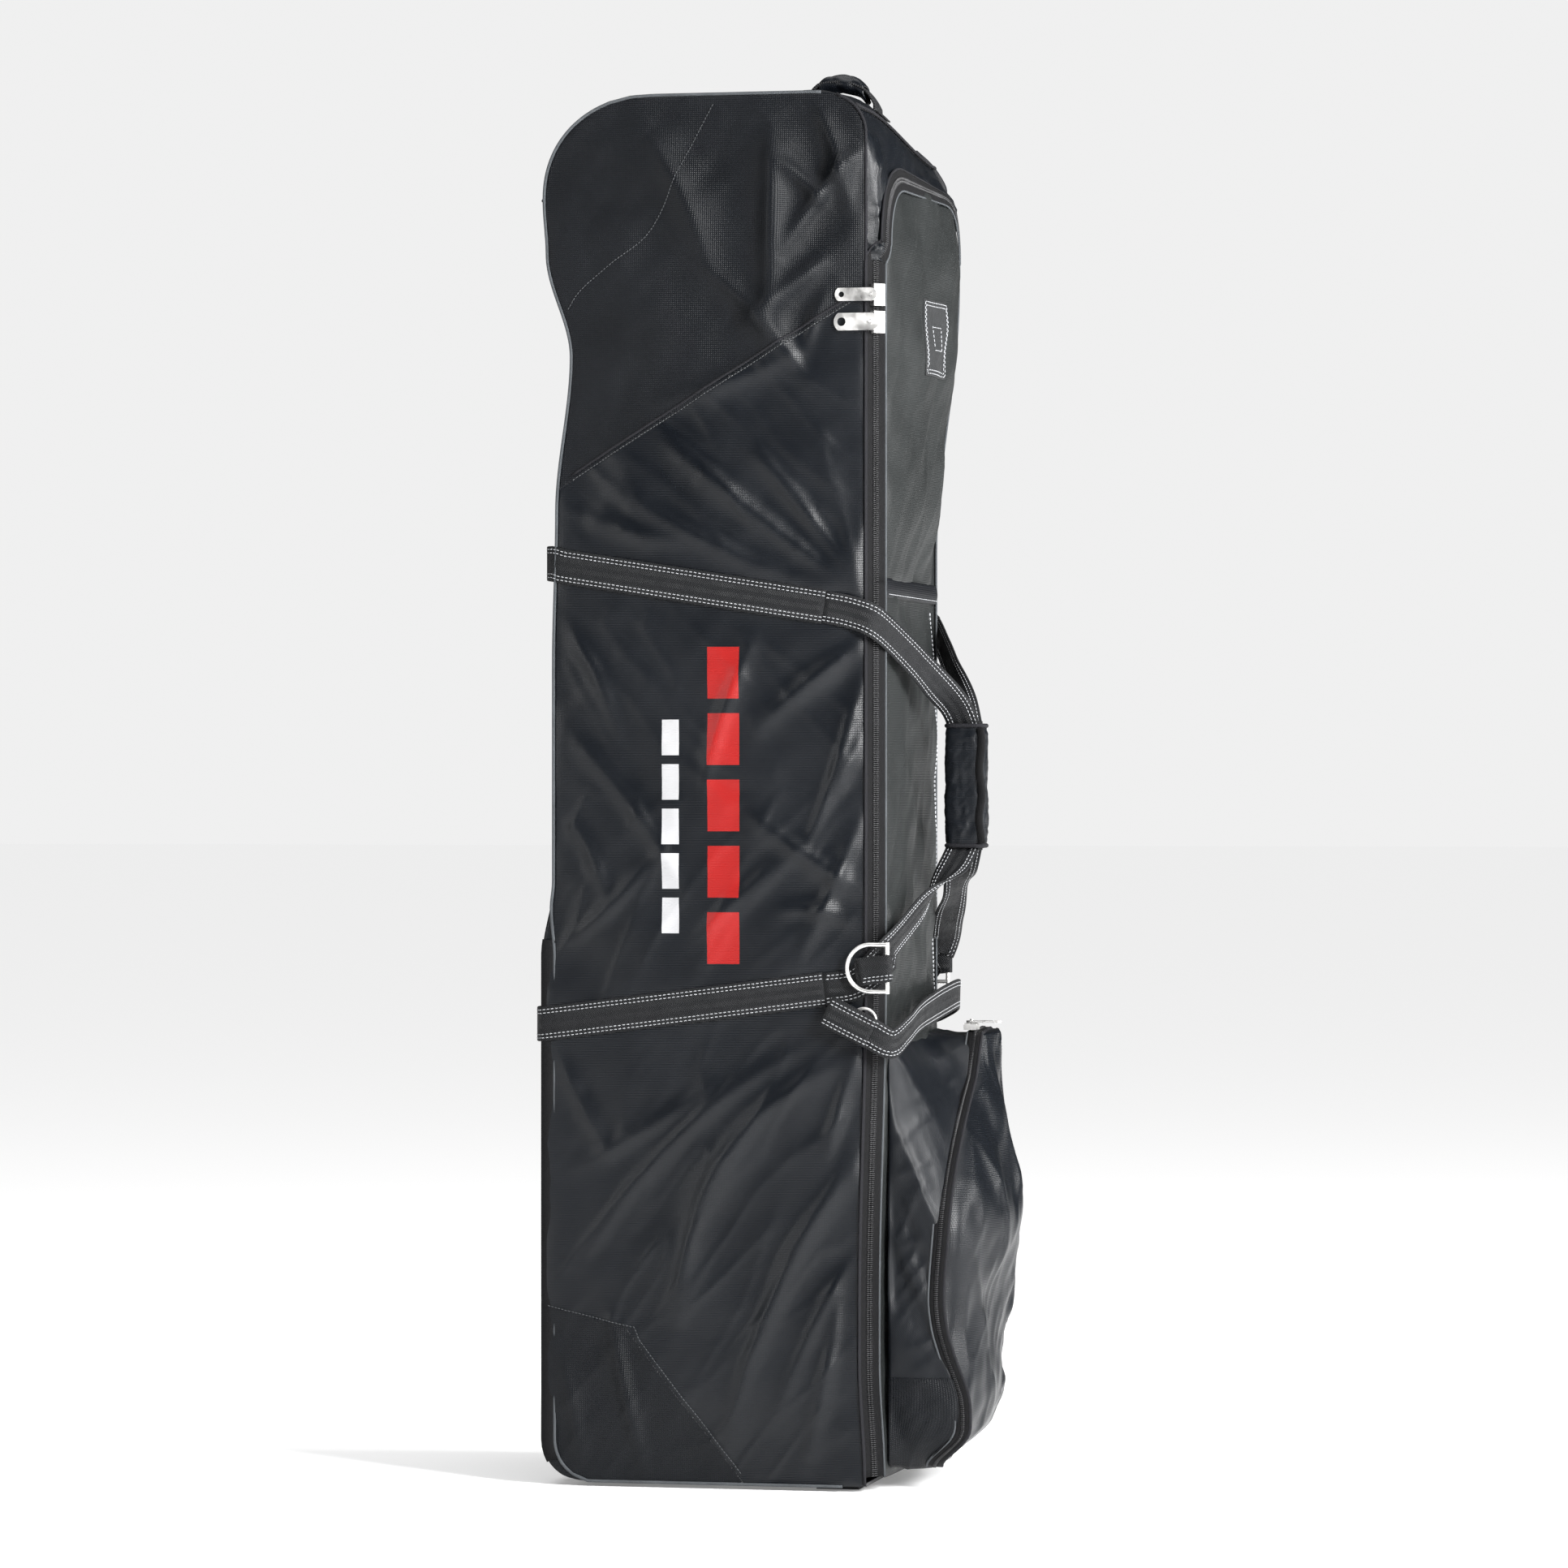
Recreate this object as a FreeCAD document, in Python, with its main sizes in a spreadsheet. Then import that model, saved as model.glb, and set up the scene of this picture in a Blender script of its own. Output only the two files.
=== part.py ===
"""Wheeled golf travel cover: a soft case with a stiff rolling base, a zipped lid and carry handles.

The case stands on its base.  +Z is up, +X is the front with the lid and the shoe pocket, -Y is the
near side.  The pieces are drawn about the middle of the case body, and then moved back by "middle",
so that the origin is on the floor in the middle of the whole footprint.  Lengths are millimetres.
"""
import FreeCAD, Part
import math
import os

Vector = FreeCAD.Vector
doc = FreeCAD.newDocument("golf_travel_case")
sheet = doc.addObject("Spreadsheet::Sheet", "Sizes")

SIZES = {
    # distance from the middle of the case body to the middle of the whole footprint
    "middle": 39.35,
    # case body
    "case_back": 160, "case_front": 160, "half_width": 140, "skin": 3, "corner_cut": 14,
    "base_level": 5, "heel_radius": 38, "skid_top": 500, "skid_wall": 4, "skid_toe": 65,
    "waist_back": 145, "waist_low": 545, "waist_high": 900, "dent_back": 132, "dent_level": 1045,
    "head_back": 158, "head_low": 1150, "head_high": 1190, "top_level": 1285,
    # lid
    "lid_low": 12, "fold_level": 830, "fold_gap": 3, "lid_top": 1211, "lid_half": 125,
    "lid_radius": 65, "zip_band": 8, "zip_rise": 1.5, "zip_top": 1148,
    # shoe pocket
    "pocket_depth": 53, "pocket_half": 118, "pocket_low": 20, "pocket_high": 417, "pocket_out": 30,
    # webbing
    "web_width": 32, "web_thick": 1.6, "web_gap": 0.4,
    "upper_web_back": 854, "upper_web_front": 806, "lower_web_back": 427, "lower_web_front": 466,
    # carry grip
    "grip_reach": 214, "grip_low": 590, "grip_high": 706, "grip_deep": 40, "grip_wide": 28,
    "grip_wall": 5,
    # rings and strap
    "ring_wire": 4, "ring_size": 47, "ring_leg": 16, "ring_level": 481, "ring_bar": 168, "ring_out": 151,
    "ring_tab_long": 14, "ring_tab_deep": 9, "ring_tab_wide": 26,
    "loop_wire": 3, "loop_radius": 11, "strap_level": 433, "strap_back": 146, "strap_front": 186,
    "strap_width": 28, "strap_thick": 2.4, "strap_end": 12,
    # top handle
    "top_grip_start": 57, "top_grip_length": 64, "top_grip_rise": 17, "top_grip_width": 14,
    "top_leg": 8, "top_foot_long": 14, "top_foot_wide": 38,
    # sliders and pulls
    "pull_lower": 1073, "pull_upper": 1098, "pull_thick": 2.2, "pull_reach": 30,
    # inner straps and buckles, foam
    "inner_low": 340, "inner_high": 640, "inner_width": 24, "inner_at": 112, "pad_thick": 6,
    # wheels
    "wheel_radius": 42, "wheel_width": 24, "wheel_spacing": 95, "axle_back": 122, "axle_size": 8,
    "bearing_size": 22, "bearing_width": 7, "bearing_play": 0.05, "hub_radius": 27,
    "housing_wall": 3, "wheel_room": 4,
}
for row, (alias, value) in enumerate(SIZES.items(), start=1):
    sheet.set(f"A{row}", alias)
    sheet.set(f"B{row}", str(value))
    sheet.setAlias(f"B{row}", alias)
doc.recompute()


class SizeReader:
    """Sizes of the sheet as plain numbers."""

    def __getattr__(self, alias):
        return float(sheet.get(alias))


size = SizeReader()
nodes = []


def name_node(item, label):
    """Register one finished sub-part under the name of its node."""
    item.Label = label
    nodes.append(item)
    return item


def bind(item, values):
    """Bind properties of an object to expressions; a word in them is a cell of the sheet."""
    for prop, text in values.items():
        words = [f"Sizes.{word}" if word in SIZES else word for word in str(text).split()]
        item.setExpression(prop, " ".join(words))
    return item


def block(corner, lengths, label=None):
    """Box from its lowest corner and its three lengths, each an expression of the sheet."""
    item = doc.addObject("Part::Box", "Block")
    bind(item, dict(zip(("Placement.Base.x", "Placement.Base.y", "Placement.Base.z"), corner)))
    bind(item, dict(zip(("Length", "Width", "Height"), lengths)))
    return name_node(item, label) if label else item


def rod(centre, radius, length, direction, label=None):
    """Cylinder centred on a point, along a direction; radius and length are expressions."""
    item = bind(doc.addObject("Part::Cylinder", "Rod"), {"Radius": radius, "Height": length})
    doc.recompute()
    axis = Vector(*direction)
    turn = FreeCAD.Rotation(Vector(0, 0, 1), axis)
    item.Placement = FreeCAD.Placement(Vector(*centre) - axis * (item.Height.Value / 2), turn)
    return name_node(item, label) if label else item


def hoop(centre, radius, wire, direction, label=None):
    """Torus round a direction; the radii are expressions."""
    item = bind(doc.addObject("Part::Torus", "Hoop"), {"Radius1": radius, "Radius2": wire})
    turn = FreeCAD.Rotation(Vector(0, 0, 1), Vector(*direction))
    item.Placement = FreeCAD.Placement(Vector(*centre), turn)
    return name_node(item, label) if label else item


def cut(base, tool, label=None):
    item = doc.addObject("Part::Cut", "Cut")
    item.Base, item.Tool = base, tool
    return name_node(item, label) if label else item


def join(items, label=None):
    item = doc.addObject("Part::MultiFuse", "Join")
    item.Shapes = items
    return name_node(item, label) if label else item


def rounded(base, radius, chosen):
    """Fillet on the edges of a base that a test picks by their bounding box."""
    doc.recompute()
    item = doc.addObject("Part::Fillet", "Rounded")
    item.Base = base
    numbers = [index for index, edge in enumerate(base.Shape.Edges, start=1) if chosen(edge.BoundBox)]
    item.Edges = [(number, radius, radius) for number in numbers]
    return item


def group(items, label=None):
    """Several separate solids that share one node."""
    item = doc.addObject("Part::Compound", "Group")
    item.Links = items
    return name_node(item, label) if label else item


def edges_of(outline):
    """Lines and arcs round a closed outline; a point with a third entry is the middle of an arc."""
    edges = []
    count = len(outline)
    index = 0
    while index < count:
        start, middle = outline[index], outline[(index + 1) % count]
        if len(middle) == 3:
            finish = outline[(index + 2) % count]
            corners = [Vector(p[0], p[1], 0) for p in (start, middle, finish)]
            edges.append(Part.Arc(*corners))
            index += 2
        else:
            ends = [Vector(p[0], p[1], 0) for p in (start, middle)]
            edges.append(Part.LineSegment(*ends))
            index += 1
    return edges


def plate(outlines, plane, depth, place, label=None):
    """PartDesign body: closed outlines sketched on an origin plane and padded by an expression."""
    body = doc.addObject("PartDesign::Body", "Body")
    sketch = body.newObject("Sketcher::SketchObject", "Sketch")
    support = next(item for item in body.Origin.OriginFeatures if item.Role == plane)
    sketch.AttachmentSupport = [(support, "")]
    sketch.MapMode = "FlatFace"
    for outline in outlines:
        sketch.addGeometry(edges_of(outline), False)
    pad = body.newObject("PartDesign::Pad", "Pad")
    pad.Profile = sketch
    bind(pad, {"Length": depth})
    bind(body, dict(zip(("Placement.Base.x", "Placement.Base.y", "Placement.Base.z"), place)))
    return name_node(body, label) if label else body


def ribbon(start, end, across, width, thick, label=None):
    """Straight flat strip between two points, its width square to the run and near a direction."""
    start, end, across = Vector(*start), Vector(*end), Vector(*across)
    run = end - start
    along = Vector(run).normalize()
    normal = along.cross(across).normalize()
    side = normal.cross(along)
    item = bind(doc.addObject("Part::Box", "Ribbon"), {"Width": width, "Height": thick})
    item.Length = run.Length
    doc.recompute()
    corner = start - side * (item.Width.Value / 2) - normal * (item.Height.Value / 2)
    turn = FreeCAD.Rotation(FreeCAD.Matrix(along.x, side.x, normal.x, 0, along.y, side.y, normal.y, 0,
                                           along.z, side.z, normal.z, 0, 0, 0, 0, 1))
    item.Placement = FreeCAD.Placement(corner, turn)
    return name_node(item, label) if label else item


def mirrored(item, label=None):
    """The far twin of a near piece, across the middle plane."""
    twin = doc.addObject("Part::Mirroring", "Twin")
    twin.Source = item
    twin.Normal = Vector(0, 1, 0)
    return name_node(twin, label) if label else twin


# ---------------------------------------------------------------- outlines

SIN45 = math.sqrt(0.5)


def heel_arc(radius):
    """Bottom back corner, round the wheel's axle line, from the back wall to the floor side."""
    centre = (-size.axle_back, size.base_level + size.heel_radius)
    middle = (centre[0] - radius * SIN45, centre[1] - radius * SIN45, "arc")
    return [(centre[0] - radius, centre[1]), middle, (centre[0], centre[1] - radius)]


def back_line(inset):
    """Back edge of the case from the skid up to the head, with its waist and dent."""
    return [
        (-size.case_back + inset, size.skid_top),
        (-size.waist_back + inset, size.waist_low),
        (-size.waist_back + inset, size.waist_high),
        (-size.dent_back + inset, size.dent_level),
        (-size.head_back + inset, size.head_low),
        (-size.head_back + inset, size.head_high),
    ]


def head_line(inset):
    """Round shoulder at the back of the head and the flat top."""
    top = size.top_level - inset
    return [
        (-size.head_back + inset, size.head_high),
        (-140 + inset * SIN45, 1243 - inset * SIN45, "arc"),
        (-95, top - 13),
        (-60, top),
        (110, top),
    ]


def side_outline(inset):
    """Side of the case seen square on."""
    front = size.case_front - size.corner_cut - inset
    heel = heel_arc(size.heel_radius - inset)
    shoulder = [(137 - inset, size.top_level - 10 - inset, "arc"), (front, size.top_level - 35)]
    foot = [(front, size.base_level + inset)]
    return heel[::-1] + back_line(inset) + head_line(inset)[1:] + shoulder + foot


def strip_outline(line, inner):
    """Closed outline between an outer line and the same line set in."""
    return line + inner[::-1]


def arch_outline(half, low, high, radius):
    """Rounded door shape on the YZ plane."""
    bend = radius * (1 - SIN45)
    return [
        (-half, low), (half, low), (half, high - radius),
        (half - bend, high - bend, "arc"), (half - radius, high), (-half + radius, high),
        (-half + bend, high - bend, "arc"), (-half, high - radius),
    ]


# ---------------------------------------------------------------- case body

def make_sides():
    place = ("0", "- half_width + skin", "0")
    near = plate([side_outline(0)], "XZ_Plane", "skin", place, "side_panel_near")
    mirrored(near, "side_panel_far")


def make_back_and_top():
    inner_half = "half_width - skin - 0.2"
    width = "2 * ( half_width - skin - 0.2 )"
    back = strip_outline(back_line(0), back_line(size.skin))
    plate([back], "XZ_Plane", width, ("0", inner_half, "0"), "upper_back_panel")
    front = size.case_front - 0.3
    nose = [(142, size.top_level - 14, "arc"), (front, size.top_level - 55)]
    nose_in = [(139, size.top_level - 17, "arc"), (front - size.skin, size.top_level - 55)]
    top = strip_outline(head_line(0) + nose, head_line(size.skin) + nose_in)
    plate([top], "XZ_Plane", width, ("0", inner_half, "0"), "top_panel")


def make_head_front():
    """Fixed front over the lid, with its two cut corners and the arched opening."""
    front, edge, skin = size.case_front, size.case_front - size.corner_cut, size.skin
    half, half_cut = size.half_width, size.half_width - size.corner_cut
    start = edge + 0.2
    outer = [(start, -half + 0.2), (front, -half_cut), (front, half_cut), (start, half - 0.2)]
    inner = [(start, half - skin - 1), (front - skin, half_cut - 1), (front - skin, -half_cut + 1),
             (start, -half + skin + 1)]
    wall = plate([outer + inner], "XY_Plane", "top_level - 55 - zip_top", ("0", "0", "zip_top"))
    hole = arch_outline(size.lid_half + 1, size.fold_level, size.lid_top + 2, size.lid_radius)
    door = plate([hole], "YZ_Plane", "2 * corner_cut", ("case_front - corner_cut", "0", "0"))
    cut(wall, door, "head_front_panel")


def make_skid_base():
    """Moulded shell over the lower back, round the heel and under the case, with two wheel slots."""
    wall = size.skid_wall
    outer = [(-size.case_back, size.skid_top)] + heel_arc(size.heel_radius)
    outer += [(-size.skid_toe, size.base_level)]
    inner = [(-size.case_back + wall, size.skid_top)] + heel_arc(size.heel_radius - wall)
    inner += [(-size.skid_toe, size.base_level + wall)]
    width = "2 * ( half_width - skin - 0.2 )"
    shell = plate([outer + inner[::-1]], "XZ_Plane", width, ("0", "half_width - skin - 0.2", "0"))
    slots = [wheel_slot(side) for side in (-1, 1)]
    cut(shell, group(slots), "skid_base")
    rails = [rail(side) for side in (-1, 0, 1)]
    group(rails, "skid_rails")


def wheel_slot(side):
    """Room round one wheel, open to the back and to the floor."""
    half = "wheel_width / 2 + 2"
    low = f"{side} * wheel_spacing - ( {half} )"
    reach = "axle_back + wheel_radius + wheel_room"
    lengths = ("2 * ( wheel_radius + wheel_room )", f"2 * ( {half} )", "2 * wheel_radius + wheel_room")
    return block((f"- ( {reach} )", low, "0"), lengths)


def rail(side):
    """Rib on the back that takes the wear when the case slides."""
    low, width, depth = "95", "8", "3"
    height = f"lower_web_back - web_width / 2 - {low} - 5"
    return block((f"- case_back - {depth}", f"{side} * 55 - {width} / 2", low), (depth, width, height))


def make_housing(side, label):
    """Moulded well over one wheel; its cheeks carry the axle."""
    wall = "housing_wall"
    half = "wheel_width / 2 + 2 + housing_wall"
    low_side = f"{side} * wheel_spacing - ( {half} )"
    corner = ("- case_back + skid_wall + 0.2", low_side, "base_level + skid_wall + 0.2")
    length = "case_back - skid_wall - 0.2 - axle_back + wheel_radius + wheel_room + housing_wall"
    height = f"2 * wheel_radius + wheel_room - base_level - skid_wall - 0.2 + {wall}"
    shell = block(corner, (length, f"2 * ( {half} )", height))
    bore = axle_rod(side, "axle_size / 2 + 0.02", "wheel_width + 30")
    wall_gap = size.skid_wall + 0.2
    room_top = 100
    room = heel_arc(size.heel_radius - wall_gap)[::-1]
    room += [(-size.case_back + wall_gap, room_top), (-size.skid_toe, room_top),
             (-size.skid_toe, size.base_level + wall_gap)]
    fitted = doc.addObject("Part::Common", "Fitted")
    fitted.Base = shell
    fitted.Tool = plate([room], "XZ_Plane", "2 * half_width", ("0", "half_width", "0"))
    cut(cut(fitted, wheel_slot(side)), bore, label)


def axle_rod(side, radius, length):
    centre = (-size.axle_back, side * size.wheel_spacing, size.wheel_radius)
    return rod(centre, radius, length, (0, 1, 0))


def make_wheel(side, name):
    """One wheel: tyre, hub, two ball bearings, and the axle with its head and nut."""
    width = "wheel_width"
    shoulder = 9.0
    tyre_blank = rounded(axle_rod(side, "wheel_radius", width), shoulder, lambda box: box.YLength < 1)
    cut(tyre_blank, axle_rod(side, "hub_radius", "wheel_width + 2"), f"tyre_{name}")
    hub = cut(axle_rod(side, "hub_radius", width), axle_rod(side, "bearing_size / 2", "wheel_width + 2"))
    hole_count, hole_ring = 5, 19
    holes = []
    for index in range(hole_count):
        angle = 2 * math.pi * index / hole_count
        centre = (-size.axle_back + hole_ring * math.cos(angle), side * size.wheel_spacing,
                  size.wheel_radius + hole_ring * math.sin(angle))
        holes.append(rod(centre, "4", "wheel_width + 2", (0, 1, 0)))
    cut(hub, group(holes), f"hub_{name}")
    races = []
    for end in (-1, 1):
        across = side * size.wheel_spacing + end * (size.wheel_width - size.bearing_width) / 2
        centre = (-size.axle_back, across, size.wheel_radius)
        race = rod(centre, "bearing_size / 2", "bearing_width", (0, 1, 0))
        races.append(cut(race, axle_rod(side, "axle_size / 2 + bearing_play", "wheel_width + 2")))
    group(races, f"bearings_{name}")
    shank = axle_rod(side, "axle_size / 2", "wheel_width + 14")
    heads = []
    for end in (-1, 1):
        across = side * size.wheel_spacing + end * (size.wheel_width / 2 + 2 + size.housing_wall + 2)
        heads.append(rod((-size.axle_back, across, size.wheel_radius), "6.5", "3.8", (0, 1, 0)))
    join([shank] + heads, f"axle_{name}")


def make_base():
    width = "2 * ( half_width - skin - 0.2 )"
    side = "- ( half_width - skin - 0.2 )"
    length = "skid_toe + case_front - corner_cut - 0.4"
    block(("- skid_toe + 0.2", side, "base_level"), (length, width, "skin"), "base_panel")
    block(("- skid_toe + 0.2", "- half_width + 10", "base_level + skin + 0.2"),
          ("skid_toe + case_front - 30", "2 * half_width - 20", "2.5"), "base_board")
    block(("- waist_back + skin + 1", "- half_width + 15", "100"),
          ("3", "2 * half_width - 30", "waist_high - 105"), "back_board")
    feet = [block(("95", f"{spot}", "0"), ("40", "26", "base_level - 0.1")) for spot in (-118, 92)]
    group(feet, "front_feet")
    rivets = []
    for across in (-120, -28, 28, 120):
        for level in (120, 300, 480):
            rivets.append(rod((-size.case_back - 1, across, level), "4", "2", (1, 0, 0)))
    group(rivets, "skid_rivets")


# ---------------------------------------------------------------- trim on the sides

def skin_plate(outline, level, thick, label=None):
    """Thin plate that lies a little outside the near side panel."""
    return plate([outline], "XZ_Plane", thick, ("0", f"- half_width - {level}", "0"), label)


def make_patches():
    """Heavy fabric at the head and the heel corner of each side."""
    inset = 5
    front = size.case_front - size.corner_cut - inset
    yoke = back_line(inset)[3:] + head_line(inset)[1:]
    yoke += [(137 - inset, size.top_level - 10 - inset, "arc"), (front, size.top_level - 35), (front, 1100),
             (119, 1088), (-110, 950), (-size.waist_back + inset, 925)]
    near = skin_plate(yoke, "0.2", "1")
    group([near, mirrored(near)], "head_yokes")
    heel = heel_arc(size.heel_radius - inset)[::-1]
    heel += [(-size.case_back + inset, 176), (-87, 152), (20, size.base_level + inset)]
    near = skin_plate(heel, "0.2", "1")
    group([near, mirrored(near)], "heel_patches")


def make_piping():
    """Round-edged cord sewn in the seam all round each side panel."""
    near = plate([side_outline(0), side_outline(2.5)], "XZ_Plane", "1.2", ("0", "- half_width - 0.2", "0"))
    group([near, mirrored(near)], "edge_piping")


def make_band(back_level, front_level, label):
    """One webbing: along the near side, across the back and along the far side."""
    level = size.half_width + size.web_gap + size.web_thick / 2 + 1.2
    back_at = -size.case_back if size.lower_web_back == back_level else -size.waist_back - 3
    outside = 4 + size.web_thick / 2
    up, half = (0, 0, 1), size.half_width
    front_at = size.case_front - size.corner_cut - 4
    start, end = (back_at, -level, back_level), (front_at, -level, front_level)
    near = ribbon(start, end, up, "web_width", "web_thick")
    behind = back_at - outside
    back = ribbon((behind, -half, back_level), (behind, half, back_level), up, "web_width", "web_thick")
    group([near, back, mirrored(near)], label)


# ---------------------------------------------------------------- lid and main zip

def make_lid():
    low_half, low_top = size.lid_half + 0.5, size.fold_level - size.fold_gap
    lower = [(-low_half, size.lid_low), (low_half, size.lid_low), (low_half, low_top), (-low_half, low_top)]
    plate([lower], "YZ_Plane", "skin", ("case_front - skin", "0", "0"), "lower_lid_panel")
    low = size.fold_level + size.fold_gap
    flap = arch_outline(size.lid_half, low, size.lid_top, size.lid_radius)
    plate([flap], "YZ_Plane", "skin", ("case_front - skin", "0", "0"), "lid_flap_panel")
    inner = arch_outline(size.lid_half - size.zip_band, low, size.lid_top - size.zip_band,
                         size.lid_radius - size.zip_band)
    band = plate([flap], "YZ_Plane", "zip_rise", ("case_front + 0.1", "0", "0"))
    middle = plate([inner], "YZ_Plane", "4", ("case_front - 1", "0", "0"))
    cut(band, middle, "lid_zip_tape")
    block(("case_front + 0.1", "-38", "1028"), ("1.2", "76", "76"), "lid_badge")


def make_head_zip():
    """Fixed half of the zip round the arch of the opening."""
    half, top, grow = size.lid_half + 1, size.lid_top + 2, 6
    outer = arch_outline(half, size.zip_top, top + grow, size.lid_radius)
    hole = arch_outline(half, size.zip_top - 5, top, size.lid_radius)
    band = plate([outer], "YZ_Plane", "zip_rise", ("case_front + 0.1", "0", "0"))
    middle = plate([hole], "YZ_Plane", "4", ("case_front - 1", "0", "0"))
    return cut(band, middle)


def make_side_zips():
    """Zip tapes down the two cut corners between the sides and the lid."""
    front, edge = size.case_front, size.case_front - size.corner_cut
    half, half_cut = size.half_width, size.half_width - size.corner_cut
    gap, depth = 0.2, 2.8
    lid_side, lid_start = -half_cut - gap, front - gap
    tape = [(edge + gap, -half + gap), (lid_start, lid_side), (lid_start - depth, lid_side),
            (edge + gap, -half + gap + depth)]
    near = plate([tape], "XY_Plane", "zip_top - lid_low - 1", ("0", "0", "lid_low"))
    return [near, mirrored(near)]


# where the pull swings on a zip slider
SLIDER_PIN = (151.5, -144.5)


def make_slider(level, label):
    """Zip slider on the cut corner, with the pin that its pull swings on."""
    corner_x = size.case_front - size.corner_cut / 2
    corner_y = -(size.half_width - size.corner_cut / 2)
    base = Vector(corner_x, corner_y, level)
    turn = FreeCAD.Rotation(Vector(0, 0, 1), -45)
    shell = bind(doc.addObject("Part::Box", "SliderShell"), {"Length": "7", "Width": "12", "Height": "20"})
    shell.Placement = FreeCAD.Placement(base + turn.multVec(Vector(0.5, -6, -10)), turn)
    pin = rod((SLIDER_PIN[0], SLIDER_PIN[1], level), "1.6", "11", (0, 1, 0))
    join([shell, pin], label)


def make_pull(level, half, hole, label):
    """Flat pull that hangs on the slider's pin and reaches back over the side."""
    pin_x = SLIDER_PIN[0]
    tip = pin_x - size.pull_reach
    blank = [(pin_x, level - half), (pin_x + half, level, "arc"), (pin_x, level + half),
             (tip, level + half), (tip - half / 2, level, "arc"), (tip, level - half)]
    leaf = plate([blank], "XZ_Plane", "pull_thick", ("0", "- half_width - 6.4", "0"))
    eye = rod((pin_x, -size.half_width - 7.5, level), "2.0", "6", (0, 1, 0))
    window = rod((tip + 3, -size.half_width - 7.5, level), hole, "6", (0, 1, 0))
    cut(leaf, group([eye, window]), label)


# ---------------------------------------------------------------- shoe pocket

def make_pocket():
    start, depth = "case_front + 0.3", "pocket_depth"
    height = "pocket_high - pocket_low - 6"
    block((start, "- pocket_half", "pocket_low + 3"), (depth, "skin", height), "pocket_gusset_near")
    block((start, "pocket_half - skin", "pocket_low + 3"), (depth, "skin", height), "pocket_gusset_far")
    block((start, "- pocket_half", "pocket_high - 3"), (depth, "2 * pocket_half", "3"), "pocket_gusset_top")
    block((start, "- pocket_half", "pocket_low"), (depth, "2 * pocket_half", "3"), "pocket_gusset_bottom")
    face = "case_front + pocket_depth + 1.3"
    blank = block((face, "- pocket_half", "pocket_low"),
                  ("pocket_out", "2 * pocket_half", "pocket_high - pocket_low - 1"))
    hollow = block(("case_front + pocket_depth", "- pocket_half + 3", "pocket_low + 3"),
                   ("pocket_out - 2", "2 * pocket_half - 6", "pocket_high - pocket_low - 7"))
    outer_bend, inner_bend = 22.0, 20.0
    cut(front_rounded(blank, outer_bend), front_rounded(hollow, inner_bend), "pocket_panel")


def front_rounded(box, radius):
    """Box with the four edges of its front face rounded."""
    doc.recompute()
    lead = box.Shape.BoundBox.XMax
    return rounded(box, radius, lambda edge: abs(edge.XMin - lead) < 0.01)


# where the pull swings on the pocket's slider
POCKET_PIN = (208.0, 60.0)


def make_pocket_slider():
    level = size.pocket_high + 0.4
    shell = block(("202", "50", f"{level}"), ("12", "20", "6"))
    pin = rod((POCKET_PIN[0], POCKET_PIN[1], level + 7), "1.6", "6", (0, 0, 1))
    join([shell, pin], "pocket_slider")
    at_x, at_y = POCKET_PIN
    blank = [(at_x, at_y - 5), (at_x + 26, at_y - 5), (at_x + 29, at_y, "arc"), (at_x + 26, at_y + 5),
             (at_x, at_y + 5), (at_x - 5, at_y, "arc")]
    leaf = plate([blank], "XY_Plane", "2", ("0", "0", f"{level + 6.6}"))
    eye = rod((at_x, at_y, level + 8), "2", "8", (0, 0, 1))
    window = rod((at_x + 22, at_y, level + 8), "2.6", "8", (0, 0, 1))
    cut(leaf, group([eye, window]), "pocket_pull")


# ---------------------------------------------------------------- handles, rings and strap

def make_handle_webs():
    """Free legs of the two carry webbings, from the corners of the case to the grip."""
    legs = []
    corner = (size.case_front + 6, -size.half_width + 4)
    reach = (size.grip_reach - 4, -14)
    levels = ((size.upper_web_front - 6, size.grip_high + 18), (size.ring_level + 6, size.grip_low - 18))
    for start_level, end_level in levels:
        start, end = (*corner, start_level), (*reach, end_level)
        legs.append(ribbon(start, end, (0, 0, 1), "web_width - 4", "web_thick"))
    near = group(legs, "handle_web_near")
    mirrored(near, "handle_web_far")


def make_grip():
    """Padded wrap that closes round both webbings, and the webbings inside it."""
    tall = "grip_high - grip_low"
    start, side = "grip_reach - grip_deep / 2", "- grip_wide / 2"
    outer = block((start, side, "grip_low"), ("grip_deep", "grip_wide", tall))
    corner_bend = 9.0
    sleeve = rounded(outer, corner_bend, lambda edge: edge.ZLength > edge.XLength + edge.YLength)
    inner = block((f"{start} + grip_wall - 1", f"{side} + grip_wall", "grip_low - 1"),
                  ("grip_deep - 2 * grip_wall + 2", "grip_wide - 2 * grip_wall", f"{tall} + 2"))
    cut(sleeve, inner, "grip_wrap")
    web_start = "grip_reach - web_width / 2 + 1"
    web_size = ("web_width - 2", "3", f"{tall} + 2")
    cores = [block((web_start, spot, "grip_low - 1"), web_size) for spot in ("-6", "3")]
    group(cores, "grip_webs")


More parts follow.
